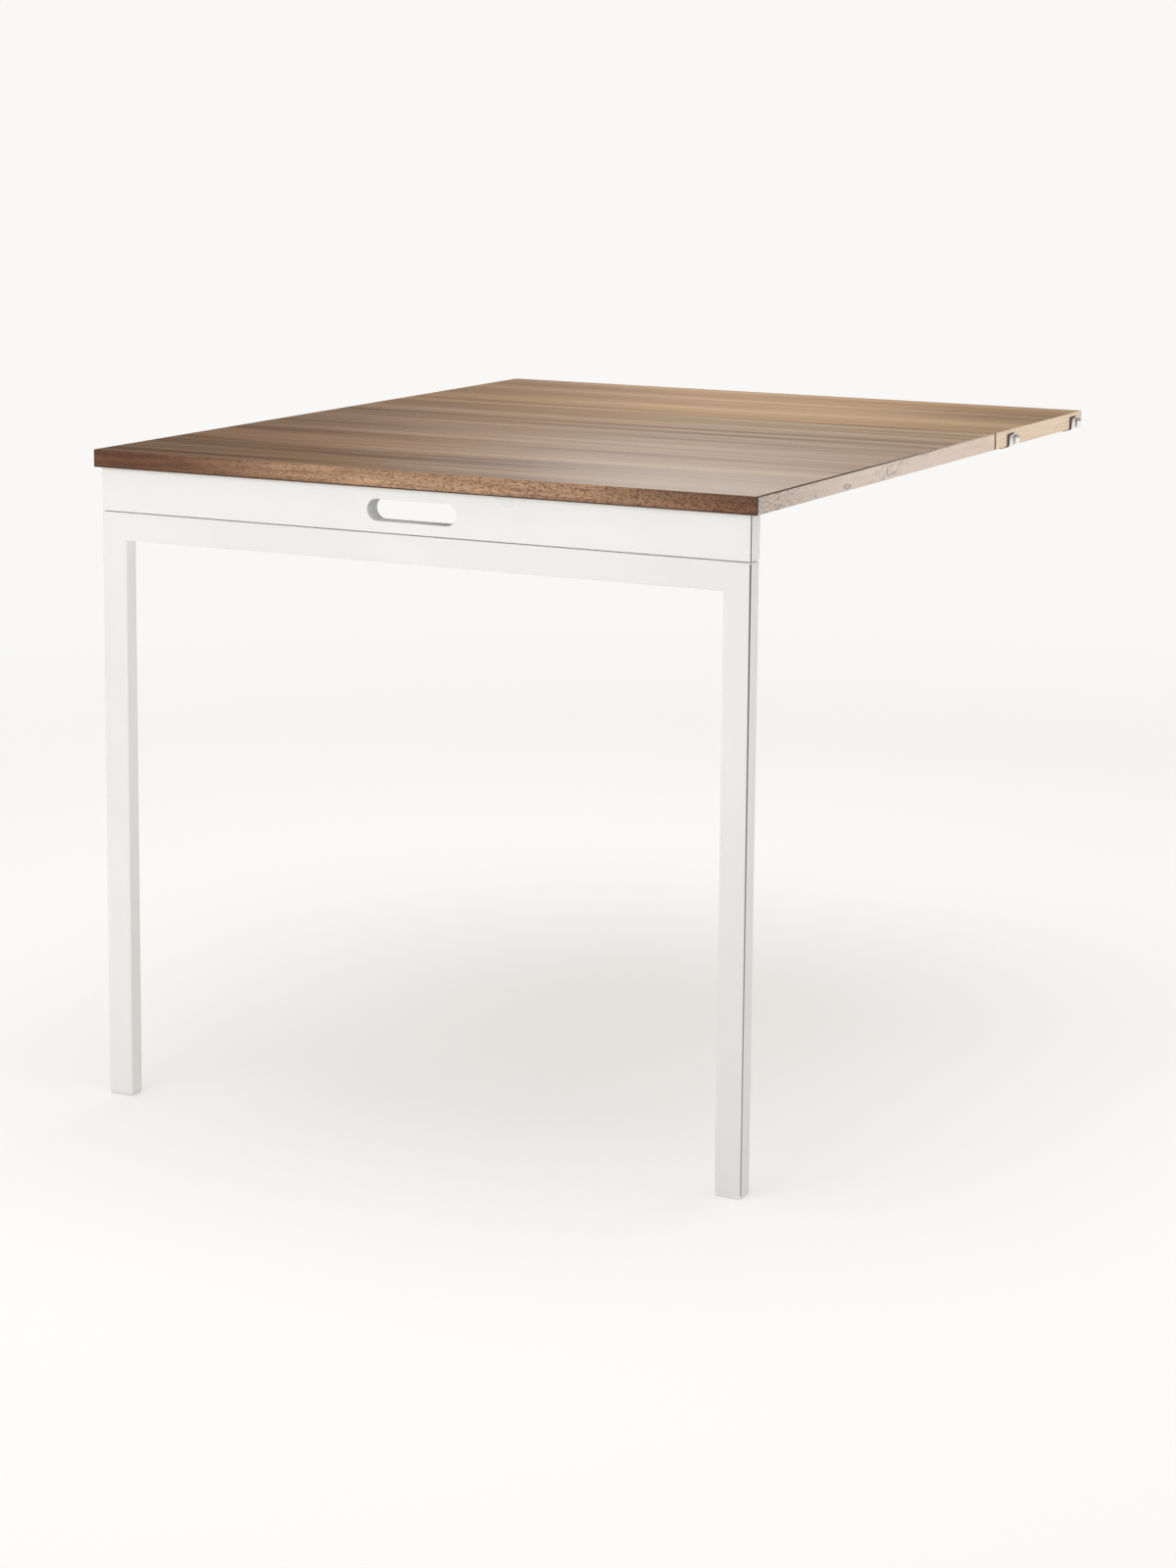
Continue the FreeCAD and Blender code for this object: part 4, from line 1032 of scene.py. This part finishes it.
LAMPS = (
    ("overhead", (0.1, -0.2, 3.0), (0, -0.4, -0.2), (3.6, 3.6), 1.90),
    ("front", (-0.5, -3.2, 1.1), (0, -0.4, -0.2), (2.7, 2.2), 1.55),
    ("right", (3.2, -0.4, 0.8), (0, -0.4, -0.2), (2.7, 2.2), 0.35),
    ("glare_core", (-0.50, 0.95, 0.46), (0.1, -0.6, 0), (0.55, 0.32), 1.6),
    ("glare_wide", (-0.42, 0.95, 0.46), (0.1, -0.6, 0), (1.15, 0.32), 1.1),
)
CAMERA_X, CAMERA_Y = 1.7652, -3.8915
CAMERA_YAW, CAMERA_PITCH, CAMERA_ROLL = 0.4700, 0.1533, 0.0087
CAMERA_SHIFT = -0.125
FLOOR_REACH = 40.0


def floor_material(backdrop):
    """A pale floor that keeps the object's shadow and runs out into the background."""
    material, here, _ = new_material("pale_floor")
    tooth = noise(here, 4 * MM)
    tree = material.node_tree
    flat = add(tree, "ShaderNodeVectorMath", {0: here, 1: (1, 1, 0)}, operation="MULTIPLY").outputs[0]
    away = add(tree, "ShaderNodeVectorMath", {0: flat}, operation="LENGTH").outputs["Value"]
    tone = (*backdrop, 1)
    normal = bumped(tooth, 0.02 * MM)
    matt = add(tree, "ShaderNodeBsdfDiffuse", {"Color": tone, "Normal": normal}).outputs[0]
    glow = add(tree, "ShaderNodeEmission", {"Color": tone, "Strength": 1.0}).outputs[0]
    far = product(band(away, 1.0, 2.8, 0.5, 1.0), shown_directly(tree))
    surface = add(tree, "ShaderNodeMixShader", {0: far, 1: matt, 2: glow}).outputs[0]
    clear = add(tree, "ShaderNodeBsdfTransparent").outputs[0]
    below = add(tree, "ShaderNodeNewGeometry").outputs["Backfacing"]
    one_sided = add(tree, "ShaderNodeMixShader", {0: below, 1: surface, 2: clear}).outputs[0]
    add(tree, "ShaderNodeOutputMaterial", {"Surface": one_sided})
    return material


def shown_directly(tree):
    """1 for what the camera, gloss or glass sees, and 0 for what lights a surface."""
    path = add(tree, "ShaderNodeLightPath").outputs
    return greatest(path["Is Camera Ray"], path["Is Glossy Ray"], path["Is Transmission Ray"])


def studio_world(settings):
    """A white background low down, a dim ceiling in reflections and an even fill on every surface."""
    world = bpy.data.worlds.new("studio")
    world.use_nodes = True
    tree = world.node_tree
    tree.nodes.clear()
    backdrop = (*settings.backdrop, 1)
    path = add(tree, "ShaderNodeLightPath").outputs
    way = add(tree, "ShaderNodeTexCoord").outputs["Generated"]
    height = parted(way)[2]
    low = band(height, -0.04, 0.0, 1.0, settings.ceiling)
    indirect = maths("SUBTRACT", 1.0, path["Is Camera Ray"])
    gloss = product(path["Is Glossy Ray"], indirect)
    fill = maths("MULTIPLY_ADD", gloss, maths("SUBTRACT", low, settings.fill), settings.fill)
    strength = greatest(fill, path["Is Camera Ray"], path["Is Transmission Ray"])
    shine = add(tree, "ShaderNodeBackground", {"Color": backdrop, "Strength": strength}).outputs[0]
    add(tree, "ShaderNodeOutputWorld", {"Surface": shine})
    return world


def softbox(name, place, aim, size, radiance):
    """A round softbox that only lights, and that the camera doesn't see."""
    data = bpy.data.lights.new(name, "AREA")
    data.shape = "ELLIPSE"
    data.size, data.size_y = size
    data.energy = radiance * math.pi * math.pi / 4 * size[0] * size[1]
    lamp = bpy.data.objects.new(name, data)
    lamp.location = place
    lamp.rotation_euler = (Vector(aim) - Vector(place)).to_track_quat("-Z", "Y").to_euler()
    lamp.visible_camera = False
    bpy.context.scene.collection.objects.link(lamp)


def studio_camera(settings):
    """A camera in front, to the right and a little above the table's top."""
    yaw, pitch, roll = CAMERA_YAW, CAMERA_PITCH, CAMERA_ROLL
    data = bpy.data.cameras.new("camera")
    data.lens = settings.lens
    data.shift_y = CAMERA_SHIFT
    data.clip_start, data.clip_end = 0.05, 200
    camera = bpy.data.objects.new("camera", data)
    ahead = Vector((-math.sin(yaw) * math.cos(pitch), math.cos(yaw) * math.cos(pitch), -math.sin(pitch)))
    level = Vector((math.cos(yaw), math.sin(yaw), 0))
    upward = level.cross(ahead)
    right = level * math.cos(roll) + upward * math.sin(roll)
    up = upward * math.cos(roll) - level * math.sin(roll)
    turn = Matrix((right, up, -ahead)).transposed().to_4x4()
    camera.matrix_world = Matrix.Translation((CAMERA_X, CAMERA_Y, settings.camera_height)) @ turn
    bpy.context.scene.collection.objects.link(camera)
    bpy.context.scene.camera = camera


class TABLE_OT_stage(Operator):
    """Lay the floor, hang the lamps and place the camera"""

    bl_idname = "table.stage"
    bl_label = "Build the Stage"

    def execute(self, context):
        settings = context.scene.table_stage
        floor_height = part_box("glide_left")[0].z
        mesh = bpy.data.meshes.new("floor")
        near, far = -FLOOR_REACH, FLOOR_REACH
        corners = [(near, near), (far, near), (far, far), (near, far)]
        mesh.from_pydata([(x, y, floor_height) for x, y in corners], [], [(0, 1, 2, 3)])
        mesh.materials.append(floor_material(tuple(settings.backdrop)))
        floor = bpy.data.objects.new("floor", mesh)
        context.scene.collection.objects.link(floor)
        context.scene.world = studio_world(settings)
        for *lamp, radiance in LAMPS:
            softbox(*lamp, radiance * settings.lamp_level)
        studio_camera(settings)
        context.scene.view_settings.view_transform = "Standard"
        return {"FINISHED"}


class VIEW3D_PT_drop_leaf_table(Panel):
    """Every step and setting of the table's looks"""

    bl_label = "Drop-Leaf Table"
    bl_space_type = "VIEW_3D"
    bl_region_type = "UI"
    bl_category = "Table"

    def draw(self, context):
        layout = self.layout
        for step in STEPS:
            layout.operator(step.bl_idname)
        for name, group in SETTINGS.items():
            box = layout.box()
            box.label(text=group.__doc__.rstrip("."))
            for key in group.__annotations__:
                box.prop(getattr(context.scene, name), key)


SETTINGS = {
    "table_walnut": WalnutSettings,
    "table_paint": PaintSettings,
    "table_fittings": FittingSettings,
    "table_stage": StageSettings,
}
STEPS = (
    TABLE_OT_boards,
    TABLE_OT_apron,
    TABLE_OT_leg_frame,
    TABLE_OT_hooks,
    TABLE_OT_hardware,
    TABLE_OT_pads,
    TABLE_OT_screws,
    TABLE_OT_rivets,
    TABLE_OT_stage,
)


def register():
    for group in (*SETTINGS.values(), *STEPS, VIEW3D_PT_drop_leaf_table):
        bpy.utils.register_class(group)
    for name, group in SETTINGS.items():
        setattr(bpy.types.Scene, name, PointerProperty(type=group))


def unregister():
    for name in SETTINGS:
        delattr(bpy.types.Scene, name)
    for group in reversed((*SETTINGS.values(), *STEPS, VIEW3D_PT_drop_leaf_table)):
        bpy.utils.unregister_class(group)


def main():
    register()
    for step in STEPS:
        operator = bpy.ops
        for part in step.bl_idname.split("."):
            operator = getattr(operator, part)
        operator()


if __name__ == "__main__":
    main()
